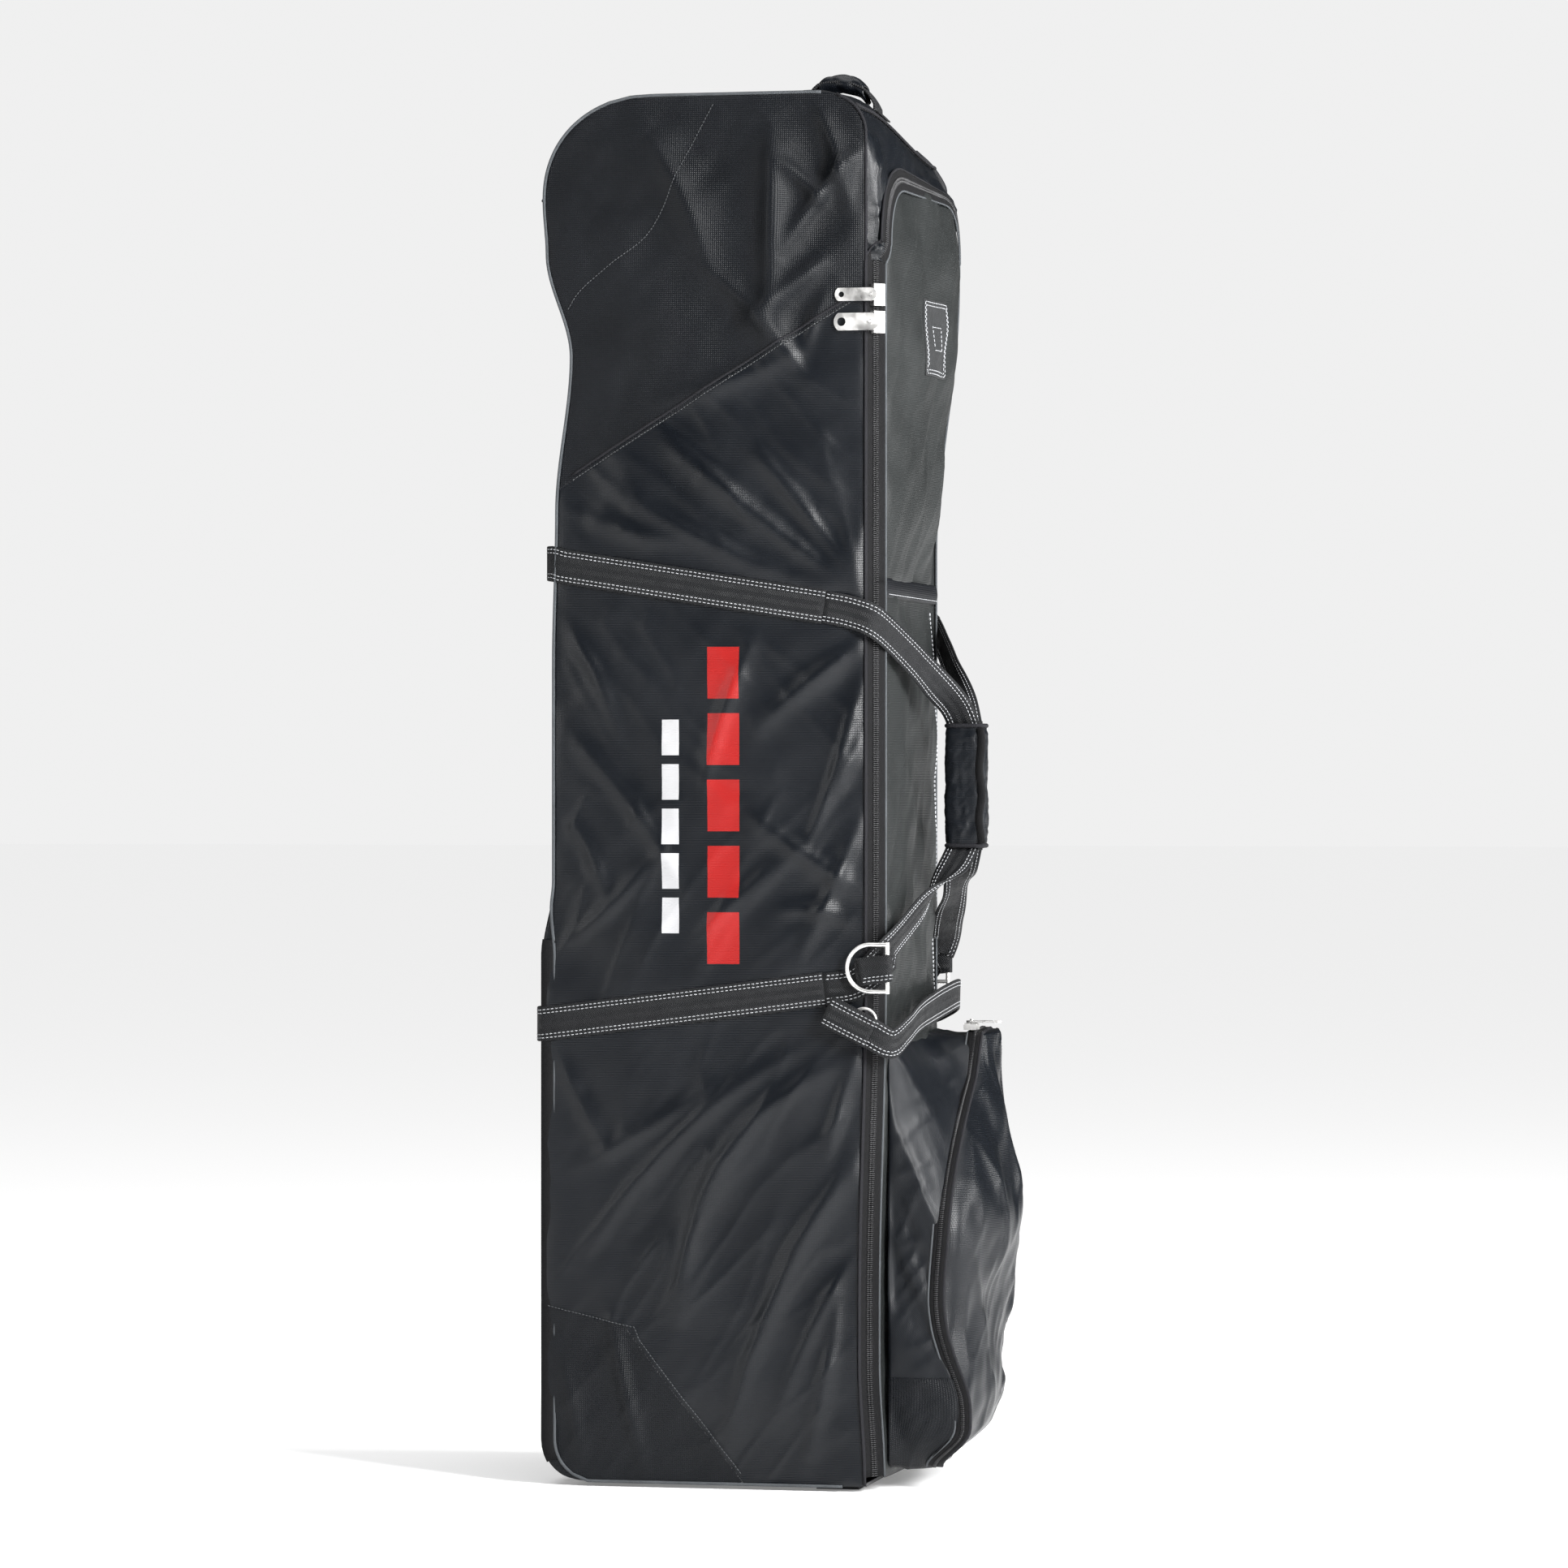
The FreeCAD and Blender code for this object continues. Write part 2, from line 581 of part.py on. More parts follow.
def make_d_rings():
    """D-rings: a straight bar in a sewn tab, two short legs and a round bow over the side."""
    bow_radius = (size.ring_size - size.ring_wire) / 2
    wire, leg, level = "ring_wire / 2", size.ring_leg, size.ring_level
    bar = (size.ring_bar, -size.ring_out, level)
    bow_centre = (size.ring_bar - leg, -size.ring_out, level)
    bow = hoop(bow_centre, f"{bow_radius}", wire, (0, 1, 0))
    reach = size.ring_size
    keep = block((f"{bow_centre[0] - reach}", f"{bow_centre[1] - reach}", f"{level - reach}"),
                 (f"{reach}", f"{2 * reach}", f"{2 * reach}"))
    half = doc.addObject("Part::Common", "Bow")
    half.Base, half.Tool = bow, keep
    legs = []
    for end in (-1, 1):
        middle = (size.ring_bar - leg / 2, -size.ring_out, level + end * bow_radius)
        legs.append(rod(middle, wire, "ring_leg", (1, 0, 0)))
    straight = rod(bar, wire, "ring_size", (0, 0, 1))
    near = join([half, straight] + legs, "d_ring_near")
    mirrored(near, "d_ring_far")
    return sewn_tabs(bar, 9, ("ring_tab_long", "ring_tab_deep", "ring_tab_wide"),
                     rod(bar, f"{wire} + 0.4", "ring_size", (0, 0, 1)), "6")


def sewn_tabs(middle, back, lengths, clearance, foot_depth):
    """Tab that folds round a wire on each side of the case, with the foot that is sewn down."""
    deep, wide = (size_of(text) for text in lengths[1:])
    start, low = f"{middle[0] - back}", f"{middle[2] - wide / 2}"
    tab = cut(block((start, f"{middle[1] - deep / 2}", low), lengths), clearance)
    foot = block((start, f"{middle[1] + deep / 2}", low), ("5", foot_depth, lengths[2]))
    near = join([tab, foot])
    return [near, mirrored(near)]


def size_of(text):
    return float(sheet.get(text)) if text in SIZES else float(text)


def make_strap():
    """Short strap across the front, hung on two small rings held by tabs on the sides."""
    out = size.half_width + 10
    centre = (size.strap_back, -out, size.strap_level)
    wire = "loop_wire / 2"
    near = hoop(centre, "loop_radius", wire, (0, 1, 0))
    group([near, mirrored(near)], "strap_rings")
    clearance = hoop(centre, "loop_radius", f"{wire} + 0.4", (0, 1, 0))
    tabs = sewn_tabs(centre, 17, ("12", "8", "18"), clearance, "5.5")
    end_start = centre[0] + 5
    end_corner = (f"{end_start}", f"{-out - 4}", "strap_level - strap_end")
    end = block(end_corner, ("strap_end", "8", "2 * strap_end"))
    end = cut(end, hoop(centre, "loop_radius", wire, (0, 1, 0)))
    arm_start = end_start + size.strap_end
    side, low = f"{-out - 1}", "strap_level - strap_width / 2"
    arm = block((f"{arm_start}", side, low), (f"strap_front - {arm_start}", "strap_thick", "strap_width"))
    span = block(("strap_front - strap_thick", side, low), ("strap_thick", f"{2 * out + 2}", "strap_width"))
    join([end, arm, span, mirrored(end), mirrored(arm)], "front_strap")
    return tabs


def make_top_handle():
    """Short grab handle that turns on two round feet, and the sewn tabs that hold it."""
    pivot = size.top_level + 2 + size.top_grip_width / 2
    side = "- top_grip_width / 2"
    starts = ("top_grip_start", "top_grip_start + top_grip_length - top_leg")
    leg_size = ("top_leg", "top_grip_width", "top_grip_rise - top_grip_width / 2")
    legs = [block((start, side, f"{pivot}"), leg_size) for start in starts]
    half_leg = size.top_leg / 2
    for spot in (size.top_grip_start + half_leg, size.top_grip_start + size.top_grip_length - half_leg):
        legs.append(rod((spot, 0, pivot), "top_grip_width / 2", "top_leg", (1, 0, 0)))
    bar_size = ("top_grip_length", "top_grip_width", "5")
    bar = block(("top_grip_start", side, "top_level + top_grip_rise - 3"), bar_size)
    join(legs + [bar], "top_handle")
    foot_size = ("top_foot_long", "top_foot_wide", "1.7")
    feet = [block((start, "- top_foot_wide / 2", "top_level + 0.2"), foot_size)
            for start in ("top_grip_start - 5", "top_grip_start + top_grip_length - 9")]
    group(feet, "top_handle_feet")


# ---------------------------------------------------------------- inside

def make_inside():
    """Foam at the head end, and two straps with buckles that hold the golf bag."""
    top_pad = ("155", "2 * half_width - 24", "11")
    block(("-52", "- half_width + 12", "top_level - 15"), top_pad, "head_pad_top")
    pad = block(("-120", "- half_width + skin + 0.4", "960"), ("250", "pad_thick", "270"))
    group([pad, mirrored(pad)], "head_pad_sides")
    webs, sockets, plugs = [], [], []
    for level in ("inner_low", "inner_high"):
        low = f"{level} - inner_width / 2"
        web = ("2", "half_width - skin - 26.4", "inner_width")
        webs.append(block(("inner_at", "- half_width + skin + 0.2", low), web))
        web = ("2", "half_width - skin - 52.2", "inner_width")
        webs.append(block(("inner_at", "52", low), web))
        shell = block(("inner_at - 5", "-26", f"{low} - 4"), ("12", "34", "inner_width + 8"))
        slot = block(("inner_at - 2.6", "-20", f"{low} - 0.5"), ("7.2", "40", "inner_width + 1"))
        sockets.append(cut(shell, slot))
        tongue = block(("inner_at - 2", "-8", low), ("6", "26", "inner_width"))
        bar = block(("inner_at - 3", "9", f"{low} - 3"), ("8", "16", "inner_width + 6"))
        plugs.append(join([tongue, bar]))
    group(webs, "inner_straps")
    group(sockets, "buckle_sockets")
    for plug, place in zip(plugs, ("lower", "upper")):
        name_node(plug, f"buckle_plug_{place}")


def build():
    make_sides()
    make_back_and_top()
    make_head_front()
    make_skid_base()
    make_base()
    for side, name in ((-1, "near"), (1, "far")):
        make_housing(side, f"wheel_housing_{name}")
        make_wheel(side, name)
    make_patches()
    make_piping()
    make_band(size.upper_web_back, size.upper_web_front, "upper_webbing")
    make_band(size.lower_web_back, size.lower_web_front, "lower_webbing")
    make_lid()
    group([make_head_zip()] + make_side_zips(), "main_zip_tape")
    pulls = ((size.pull_lower, 8, "4", "lower"), (size.pull_upper, 6, "2.6", "upper"))
    for level, half, hole, name in pulls:
        make_slider(level, f"slider_{name}")
        make_pull(level, half, hole, f"pull_{name}")
    make_pocket()
    make_pocket_slider()
    make_handle_webs()
    make_grip()
    group(make_d_rings() + make_strap(), "ring_tabs")
    make_top_handle()
    make_inside()
    doc.recompute()


def centre_on_footprint():
    """Move every piece back by the same distance; a far twin follows its near piece."""
    for item in nodes:
        if item.TypeId == "Part::Mirroring":
            continue
        bindings = dict(item.ExpressionEngine)
        bound = bindings.get(".Placement.Base.x") or bindings.get("Placement.Base.x")
        if bound:
            item.setExpression("Placement.Base.x", f"{bound} - Sizes.middle")
        else:
            place = item.Placement
            place.Base.x -= size.middle
            item.Placement = place
    doc.recompute()


def check_and_write():
    for item in doc.Objects:
        if "Invalid" in item.State or "Error" in item.State:
            raise RuntimeError(f"{item.Label} did not compute: {item.State}")
    os.makedirs("parts", exist_ok=True)
    for item in nodes:
        if item.Shape.isNull() or not item.Shape.isValid():
            raise RuntimeError(f"{item.Label} has no valid shape")
        item.Shape.exportStep(os.path.join("parts", f"{item.Label}.step"))
        print(f"{item.Label}: {len(item.Shape.Solids)} solids, {item.Shape.Volume / 1000:.1f} cm3")
    boxes = [item.Shape.BoundBox for item in nodes]
    print(len(nodes), "nodes, from x", min(box.XMin for box in boxes), "to", max(box.XMax for box in boxes))


build()
centre_on_footprint()
check_and_write()
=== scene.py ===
"""Looks of the wheeled golf travel cover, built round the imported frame.

Places inside the pieces are given in millimetres about the middle of the case body, as in the CAD
source, and turned into the frame's metres by at().  +X is the front, -Y the near side, +Z up.
"""
import math

import bmesh
import bpy
import numpy as np
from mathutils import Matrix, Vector, noise
from mathutils.bvhtree import BVHTree


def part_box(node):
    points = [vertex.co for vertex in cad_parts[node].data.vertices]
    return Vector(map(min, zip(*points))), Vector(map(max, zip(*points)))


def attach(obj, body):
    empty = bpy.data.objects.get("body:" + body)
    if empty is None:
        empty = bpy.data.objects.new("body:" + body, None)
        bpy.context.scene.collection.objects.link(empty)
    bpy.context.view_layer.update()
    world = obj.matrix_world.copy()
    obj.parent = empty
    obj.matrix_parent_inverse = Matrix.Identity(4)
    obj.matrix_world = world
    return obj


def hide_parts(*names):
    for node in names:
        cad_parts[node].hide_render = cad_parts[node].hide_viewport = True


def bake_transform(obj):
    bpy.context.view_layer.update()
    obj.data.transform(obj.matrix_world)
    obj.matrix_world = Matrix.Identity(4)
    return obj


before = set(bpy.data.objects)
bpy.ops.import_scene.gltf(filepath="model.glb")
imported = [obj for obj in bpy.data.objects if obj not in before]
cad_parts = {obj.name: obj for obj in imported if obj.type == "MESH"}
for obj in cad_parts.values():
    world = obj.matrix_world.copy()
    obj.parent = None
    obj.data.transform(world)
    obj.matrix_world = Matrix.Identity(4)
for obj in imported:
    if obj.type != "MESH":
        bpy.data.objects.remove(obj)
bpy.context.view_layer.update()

MM = 0.001
BODY_X = (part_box("side_panel_near")[0][0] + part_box("lower_lid_panel")[1][0]) / 2


def smooth(value, low, high):
    share = min(max((value - low) / (high - low), 0.0), 1.0)
    return share * share * (3 - 2 * share)


def slouch(x, y, z):
    """How far the soft head leans forward on its far side, and sinks at its front corner."""
    forward = 22 * smooth(z, 870, 1120) * smooth(y, -126, 126) * smooth(x, -60, 150)
    down = 16 * smooth(x, 90, 165) * smooth(z, 1170, 1275) * (0.25 + 0.75 * smooth(y, -130, 90))
    down += 26 * smooth(x, 20, 150) * smooth(z, 1195, 1275) * smooth(y, -80, 130)
    return forward, down


def at(x, y, z):
    """Millimetres about the body's middle to metres in the row frame."""
    forward, down = slouch(x, y, z)
    return Vector((BODY_X + (x + forward) * MM, y * MM, (z - down) * MM))


def to_mm(corner):
    return [(corner[0] - BODY_X) / MM, corner[1] / MM, corner[2] / MM]


def box_mm(node):
    """Low and high corner of a CAD node in millimetres about the body's middle."""
    return [to_mm(corner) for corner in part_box(node)]


def unslouched(spot):
    """The place that at() takes to this spot of the row frame."""
    goal = to_mm(spot)
    x, z = goal[0], goal[2]
    for _ in range(4):
        forward, down = slouch(x, goal[1], z)
        x, z = goal[0] - forward, goal[2] + down
    return np.array([x, goal[1], z])


(BACK, SIDE_Y, FLOOR_GAP), (EDGE, _, TOP) = box_mm("side_panel_near")      # EDGE is the side's front edge
(_, _, LID_FOOT), (FRONT, _, LOWER_LID_TOP) = box_mm("lower_lid_panel")
(_, _, FLAP_FOOT), (_, LID_HALF, LID_TOP) = box_mm("lid_flap_panel")
HALF = -SIDE_Y                      # half of the width over the side panels
FOLD = (LOWER_LID_TOP + FLAP_FOOT) / 2
LID_BEND = 65.0                     # radius of the lid's upper corners
WEB = 32.0                          # width of the webbing
UPPER, LOWER = (854, 806), (427, 466)       # levels of the two bands, at the back and at the front


# ---------------------------------------------------------------- materials

class Paint:
    """A node material under construction."""

    def __init__(self, name, base, roughness, metallic=0.0, sheen=0.0, specular=0.5):
        self.material = bpy.data.materials.new(name)
        self.material.use_nodes = True
        self.tree = self.material.node_tree
        self.shader = self.tree.nodes["Principled BSDF"]
        self.base = base
        for socket, value in (("Base Color", (*base, 1)), ("Roughness", roughness), ("Metallic", metallic),
                              ("Specular IOR Level", specular), ("Sheen Weight", sheen),
                              ("Sheen Roughness", 0.4)):
            self.shader.inputs[socket].default_value = value
        self.height = None

    def node(self, kind, **values):
        item = self.tree.nodes.new(kind)
        for key, value in values.items():
            setattr(item, key, value)
        return item

    def link(self, source, target):
        self.tree.links.new(source, target)

    def feed(self, socket, source):
        self.link(source, self.shader.inputs[socket])

    def maths(self, operation, first, second=0.5, third=None):
        item = self.node("ShaderNodeMath", operation=operation)
        for socket, value in zip(item.inputs, (first, second, third)):
            if isinstance(value, (int, float)):
                socket.default_value = value
            elif value is not None:
                self.link(value, socket)
        return item.outputs[0]

    def place(self, source="UV"):
        """Texture place: UV is in metres along the cloth, Object is the row frame."""
        return self.node("ShaderNodeTexCoord").outputs[source]

    def axis(self, vector, index):
        split = self.node("ShaderNodeSeparateXYZ")
        self.link(vector, split.inputs[0])
        return split.outputs[index]

    def noise(self, vector, scale, detail=3.0, stretch=(1, 1, 1), kind="FBM", warp=0.0):
        mapping = self.node("ShaderNodeMapping")
        self.link(vector, mapping.inputs["Vector"])
        mapping.inputs["Scale"].default_value = stretch
        item = self.node("ShaderNodeTexNoise", noise_type=kind)
        item.inputs["Distortion"].default_value = warp
        item.inputs["Scale"].default_value = scale
        item.inputs["Detail"].default_value = detail
        self.link(mapping.outputs[0], item.inputs["Vector"])
        return item.outputs["Fac"]

    def ribs(self, value, pitch):
        """Smooth ribs of one pitch, from 0 to 1."""
        turn = self.maths("MULTIPLY_ADD", value, 2 * math.pi / pitch, 0.0)
        return self.maths("MULTIPLY_ADD", self.maths("SINE", turn), 0.5, 0.5)

    def cross_ribs(self, vector, pitch):
        """Little knots where ribs along and across the cloth meet."""
        return self.maths("MULTIPLY", *(self.ribs(self.axis(vector, index), pitch) for index in (0, 1)))

    def remap(self, value, low, high, from_low=0.3, from_high=0.7):
        item = self.node("ShaderNodeMapRange")
        limits = {"From Min": from_low, "From Max": from_high, "To Min": low, "To Max": high}
        for socket, number in limits.items():
            item.inputs[socket].default_value = number
        self.link(value, item.inputs["Value"])
        return item.outputs[0]

    def mix(self, fac, below, above):
        """Blend of two colours; each is a tuple or a socket."""
        item = self.node("ShaderNodeMix", data_type="RGBA")
        self.link(fac, item.inputs[0])
        for socket, colour in ((item.inputs[6], below), (item.inputs[7], above)):
            if isinstance(colour, tuple):
                socket.default_value = (*colour, 1)
            else:
                self.link(colour, socket)
        return item.outputs[2]

    def shades(self, fac, low, high, lift=0.0):
        """Colour that wanders between two multiples of the base."""
        return self.mix(fac, tuple(low * c for c in self.base), tuple(high * c + lift for c in self.base))

    def bump(self, height, strength, distance):
        item = self.node("ShaderNodeBump")
        item.inputs["Strength"].default_value = strength
        item.inputs["Distance"].default_value = distance
        self.link(height, item.inputs["Height"])
        if self.height is not None:
            self.link(self.height, item.inputs["Normal"])
        self.height = item.outputs[0]
        self.feed("Normal", self.height)


def coated_cloth(name, base=(0.0032, 0.0042, 0.006), rough=(0.27, 0.40), marks=False):
    """Shiny coated polyester with a fine crosswise rib."""
    paint = Paint(name, base, 0.4, sheen=0.005, specular=0.27)
    uv = paint.place()
    weave = paint.maths("MULTIPLY_ADD", paint.ribs(paint.axis(uv, 0), 0.0011), 0.35,
                        paint.ribs(paint.axis(uv, 1), 0.0016))
    cloud = paint.noise(uv, 9.0, 4.0)
    colour = paint.shades(cloud, 0.75, 1.45)
    paint.feed("Base Color", print_marks(paint, colour) if marks else colour)
    paint.feed("Roughness", paint.remap(cloud, *rough))
    paint.bump(paint.noise(uv, 22.0, 3.0, (1.0, 0.6, 1.0), "RIDGED_MULTIFRACTAL", 0.6), 0.35, 0.002)
    paint.bump(weave, 0.35, 0.0003)
    paint.bump(paint.noise(uv, 240.0, 2.0), 0.12, 0.0003)
    return paint.material


def print_marks(paint, colour):
    """Plain printed bars on the side: a broken red bar and a slim white one."""
    place = paint.place("Object")
    x, z = paint.axis(place, 0), paint.axis(place, 2)
    for centre, half, low, high, step, block, ink in (
            (14, 15, 484, 788, 61, 0.78, (0.27, 0.010, 0.009)),
            (-36, 8, 512, 716, 41, 0.8, (0.40, 0.40, 0.41))):
        across = paint.maths("COMPARE", x, BODY_X + centre * MM, half * MM)
        inside = paint.maths("COMPARE", z, (low + high) / 2 * MM, (high - low) / 2 * MM)
        beat = paint.maths("FRACT", paint.maths("MULTIPLY_ADD", z, 1 / (step * MM), -low / step))
        bar = paint.maths("MULTIPLY", across, inside)
        mask = paint.maths("MULTIPLY", bar, paint.maths("LESS_THAN", beat, block))
        colour = paint.mix(mask, colour, ink)
    return colour


def heavy_cloth(name, base):
    """Matte heavy basket-weave polyester."""
    paint = Paint(name, base, 0.6, sheen=0.005, specular=0.20)
    uv = paint.place()
    cloud = paint.noise(uv, 12.0, 5.0)
    paint.feed("Base Color", paint.shades(cloud, 0.7, 1.4))
    paint.feed("Roughness", paint.remap(cloud, 0.38, 0.50))
    paint.bump(cloud, 0.2, 0.003)
    paint.bump(paint.cross_ribs(uv, 0.0019), 0.6, 0.0005)
    return paint.material


def woven_web(name, base):
    """Ribbed webbing with a herringbone."""
    paint = Paint(name, base, 0.62, sheen=0.02, specular=0.26)
    uv = paint.place()
    zigzag = paint.maths("PINGPONG", paint.axis(uv, 0), 0.004)
    weave = paint.ribs(paint.maths("ADD", paint.axis(uv, 1), zigzag), 0.0021)
    cloud = paint.noise(uv, 60.0, 4.0)
    paint.feed("Base Color", paint.shades(weave, 0.6, 1.5))
    paint.feed("Roughness", paint.remap(cloud, 0.5, 0.74))
    paint.bump(cloud, 0.15, 0.001)
    paint.bump(weave, 0.7, 0.0006)
    return paint.material


def thread_paint(name, base):
    paint = Paint(name, base, 0.6, sheen=0.3)
    cloud = paint.noise(paint.place("Object"), 300.0, 2.0)
    paint.feed("Base Color", paint.shades(cloud, 0.7, 1.0))
    paint.bump(cloud, 0.3, 0.0003)
    return paint.material


def tape_paint(name, base, pitch=0.0012):
    """Knitted zip tape or binding."""
    paint = Paint(name, base, 0.75, sheen=0.01, specular=0.18)
    uv = paint.place()
    paint.feed("Base Color", paint.shades(paint.noise(uv, 40.0, 3.0), 0.7, 1.6))
    paint.bump(paint.cross_ribs(uv, pitch), 0.6, 0.0004)
    return paint.material


def metal_paint(name, base, rough, grain=0.25):
    """Plated or brushed metal with fine scratches."""
    paint = Paint(name, base, rough, metallic=1.0)
    place = paint.place("Object")
    cloud = paint.noise(place, 90.0, 5.0)
    paint.feed("Roughness", paint.remap(cloud, rough * 0.7, rough * 1.7))
    paint.feed("Base Color", paint.shades(cloud, 0.86, 1.0))
    paint.bump(paint.noise(place, 700.0, 3.0, (1, 1, 0.08)), grain, 0.0001)
    return paint.material


def moulded_paint(name, base, rough):
    """Moulded plastic or rubber with a fine leather-like grain and scuffs."""
    paint = Paint(name, base, rough, specular=0.45)
    place = paint.place("Object")
    scuff = paint.noise(place, 45.0, 6.0, (1, 1, 0.3))
    paint.feed("Base Color", paint.shades(paint.remap(scuff, 0, 1, 0.45, 0.75), 1.0, 2.6, 0.006))
    paint.feed("Roughness", paint.remap(scuff, rough * 0.8, min(rough * 1.3, 1)))
    paint.bump(paint.noise(place, 900.0, 2.0), 0.35, 0.0003)
    return paint.material


SHINY = coated_cloth("coated_cloth")
SHINY_MARKED = coated_cloth("coated_cloth_marked", marks=True)
SHINY_LID = coated_cloth("lid_cloth", (0.012, 0.0135, 0.0135), (0.40, 0.54))
LINING = coated_cloth("lining_cloth", (0.014, 0.0145, 0.0155), (0.55, 0.7))
HEAVY = heavy_cloth("heavy_cloth", (0.0025, 0.0033, 0.0048))
WEBBING = woven_web("webbing", (0.0045, 0.005, 0.006))
BADGE = woven_web("badge_weave", (0.02, 0.021, 0.022))
THREAD = thread_paint("pale_thread", (0.42, 0.43, 0.45))
DARK_THREAD = thread_paint("grey_thread", (0.05, 0.055, 0.06))
TAPE = tape_paint("zip_tape", (0.0025, 0.0025, 0.003))
PIPING = tape_paint("grey_piping", (0.06, 0.065, 0.07), 0.0009)
BLACK_BINDING = tape_paint("black_binding", (0.01, 0.01, 0.012), 0.0014)
NICKEL = metal_paint("nickel", (0.97, 0.96, 0.94), 0.34, 0.08)
STEEL = metal_paint("steel", (0.55, 0.55, 0.56), 0.32)
COIL = moulded_paint("zip_coil", (0.012, 0.012, 0.013), 0.38)
MOULDING = moulded_paint("moulding", (0.013, 0.013, 0.014), 0.5)
BOARD = moulded_paint("board", (0.03, 0.03, 0.032), 0.55)
RUBBER = moulded_paint("rubber", (0.016, 0.016, 0.017), 0.75)
TYRE = moulded_paint("tyre", (0.022, 0.022, 0.024), 0.6)
HUB = moulded_paint("hub", (0.06, 0.06, 0.065), 0.35)


# ---------------------------------------------------------------- meshes

def mesh_piece(name, points, faces, uvs, material, body="case"):
    """New mesh piece in metres; uvs has one pair per point, in metres along the cloth."""
    mesh = bpy.data.meshes.new(name)
    mesh.from_pydata([tuple(p) for p in points], [], faces)
    layer = mesh.uv_layers.new(name="UVMap")
    corner_points = np.empty(len(mesh.loops), dtype=np.int32)
    mesh.loops.foreach_get("vertex_index", corner_points)
    layer.data.foreach_set("uv", np.asarray(uvs, dtype=np.float32)[corner_points].ravel())
    mesh.polygons.foreach_set("use_smooth", [True] * len(mesh.polygons))
    mesh.materials.append(material)
    mesh.update()
    piece = bpy.data.objects.new(name, mesh)
    bpy.context.collection.objects.link(piece)
    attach(piece, body)
    return piece


def bends(piece, a, b, start, end):
    """Take a piece of cloth off its body and bake its place into its mesh; a and b are not used, and start
    and end, in case millimetres, are only turned into metres.
    """
    piece.parent = None
    at(*start)
    at(*end)
    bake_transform(piece)


def grid_faces(rows, columns, flipped=False):
    """Quads of a grid whose points run row by row."""
    faces = []
    for row in range(rows - 1):
        for column in range(columns - 1):
            corner = row * columns + column
            faces.append((corner, corner + 1, corner + columns + 1, corner + columns))
    return [face[::-1] for face in faces] if flipped else faces


def cells(rows, columns):
    """Row share, column share from -1 to 1, and whether it is on the rim, for each point of a grid."""
    for row in range(rows):
        for column in range(columns):
            rim = row in (0, rows - 1) or column in (0, columns - 1)
            yield row / (rows - 1), 2 * column / (columns - 1) - 1, rim


def tube_faces(rows, sides, closed=False, capped=True):
    """Quads of a tube whose rings of points run one after another, with caps unless it is closed."""
    faces = []
    for row in range(rows if closed else rows - 1):
        low, high = row * sides, (row + 1) % rows * sides
        for a, b in zip(range(sides), [*range(1, sides), 0]):
            faces.append((low + a, low + b, high + b, high + a))
    if capped and not closed:
        faces += [tuple(range(sides))[::-1], tuple(range((rows - 1) * sides, rows * sides))]
    return faces


def set_points(piece, points):
    piece.data.vertices.foreach_set("co", np.asarray(points, dtype=np.float32).ravel())
    piece.data.update()


def evaluated_mesh(piece):
    """New mesh of a piece with its modifiers applied."""
    return bpy.data.meshes.new_from_object(piece.evaluated_get(bpy.context.evaluated_depsgraph_get()))


# ---------------------------------------------------------------- cloth

CLOTH_FRAMES = 36


def relax(piece, pins, rest, bending):
    """Let a panel settle as cloth that is larger than its frame: the spare cloth wrinkles."""
    piece.shape_key_add(name="Basis")
    key = piece.shape_key_add(name="rest")
    key.data.foreach_set("co", np.asarray(rest, dtype=np.float32).ravel())
    group = piece.vertex_groups.new(name="pinned")
    group.add([index for index, pin in enumerate(pins) if pin], 1.0, "REPLACE")
    cloth = piece.modifiers.new("Cloth", "CLOTH")
    settings = cloth.settings
    settings.quality = 6
    settings.mass = 0.25
    settings.tension_stiffness = settings.compression_stiffness = 25
    settings.shear_stiffness = 12
    settings.bending_stiffness = bending
    settings.tension_damping = settings.compression_damping = 8
    settings.air_damping = 3
    settings.vertex_group_mass = "pinned"
    settings.rest_shape_key = key
    settings.effector_weights.gravity = 0
    cloth.point_cache.frame_start, cloth.point_cache.frame_end = 1, CLOTH_FRAMES
    scene = bpy.context.scene
    for number in range(1, CLOTH_FRAMES + 1):
        scene.frame_set(number)
    settled = evaluated_mesh(piece)
    result = np.empty(len(settled.vertices) * 3)
    settled.vertices.foreach_get("co", result)
    bpy.data.meshes.remove(settled)
    piece.modifiers.remove(cloth)
    piece.shape_key_clear()
    scene.frame_set(1)
    return result.reshape(-1, 3)


def looseness(mesh, pins, reach=4):
    """0 on the sewn points, rising to 1 a few points away from them."""
    edges = np.empty(len(mesh.edges) * 2, dtype=np.int32)
    mesh.edges.foreach_get("vertices", edges)
    first, second = edges.reshape(-1, 2).T
    away = np.where(np.asarray(pins) > 0.5, 0.0, float(reach))
    for _ in range(reach):
        np.minimum.at(away, first, away[second] + 1)
        np.minimum.at(away, second, away[first] + 1)
    return away / reach


def raise_folds(piece, height):
    """Split the cloth finer and raise sharp folds in it; height takes case millimetres."""
    piece.modifiers.new("Fine", "SUBSURF").levels = 1
    rough = piece.data
    piece.data = mesh = evaluated_mesh(piece)
    piece.modifiers.clear()
    bpy.data.meshes.remove(rough)
    count = len(mesh.vertices)
    points, normals, loose = np.empty(count * 3), np.empty(count * 3), np.empty(count)
    mesh.vertices.foreach_get("co", points)
    mesh.vertex_normals.foreach_get("vector", normals)
    mesh.attributes["loose"].data.foreach_get("value", loose)
    points, normals = points.reshape(-1, 3), normals.reshape(-1, 3)
    lift = height((points - (BODY_X, 0, 0)) / MM) * MM
    set_points(piece, points + normals * (lift * loose)[:, None])
    mesh.attributes.remove(mesh.attributes["loose"])


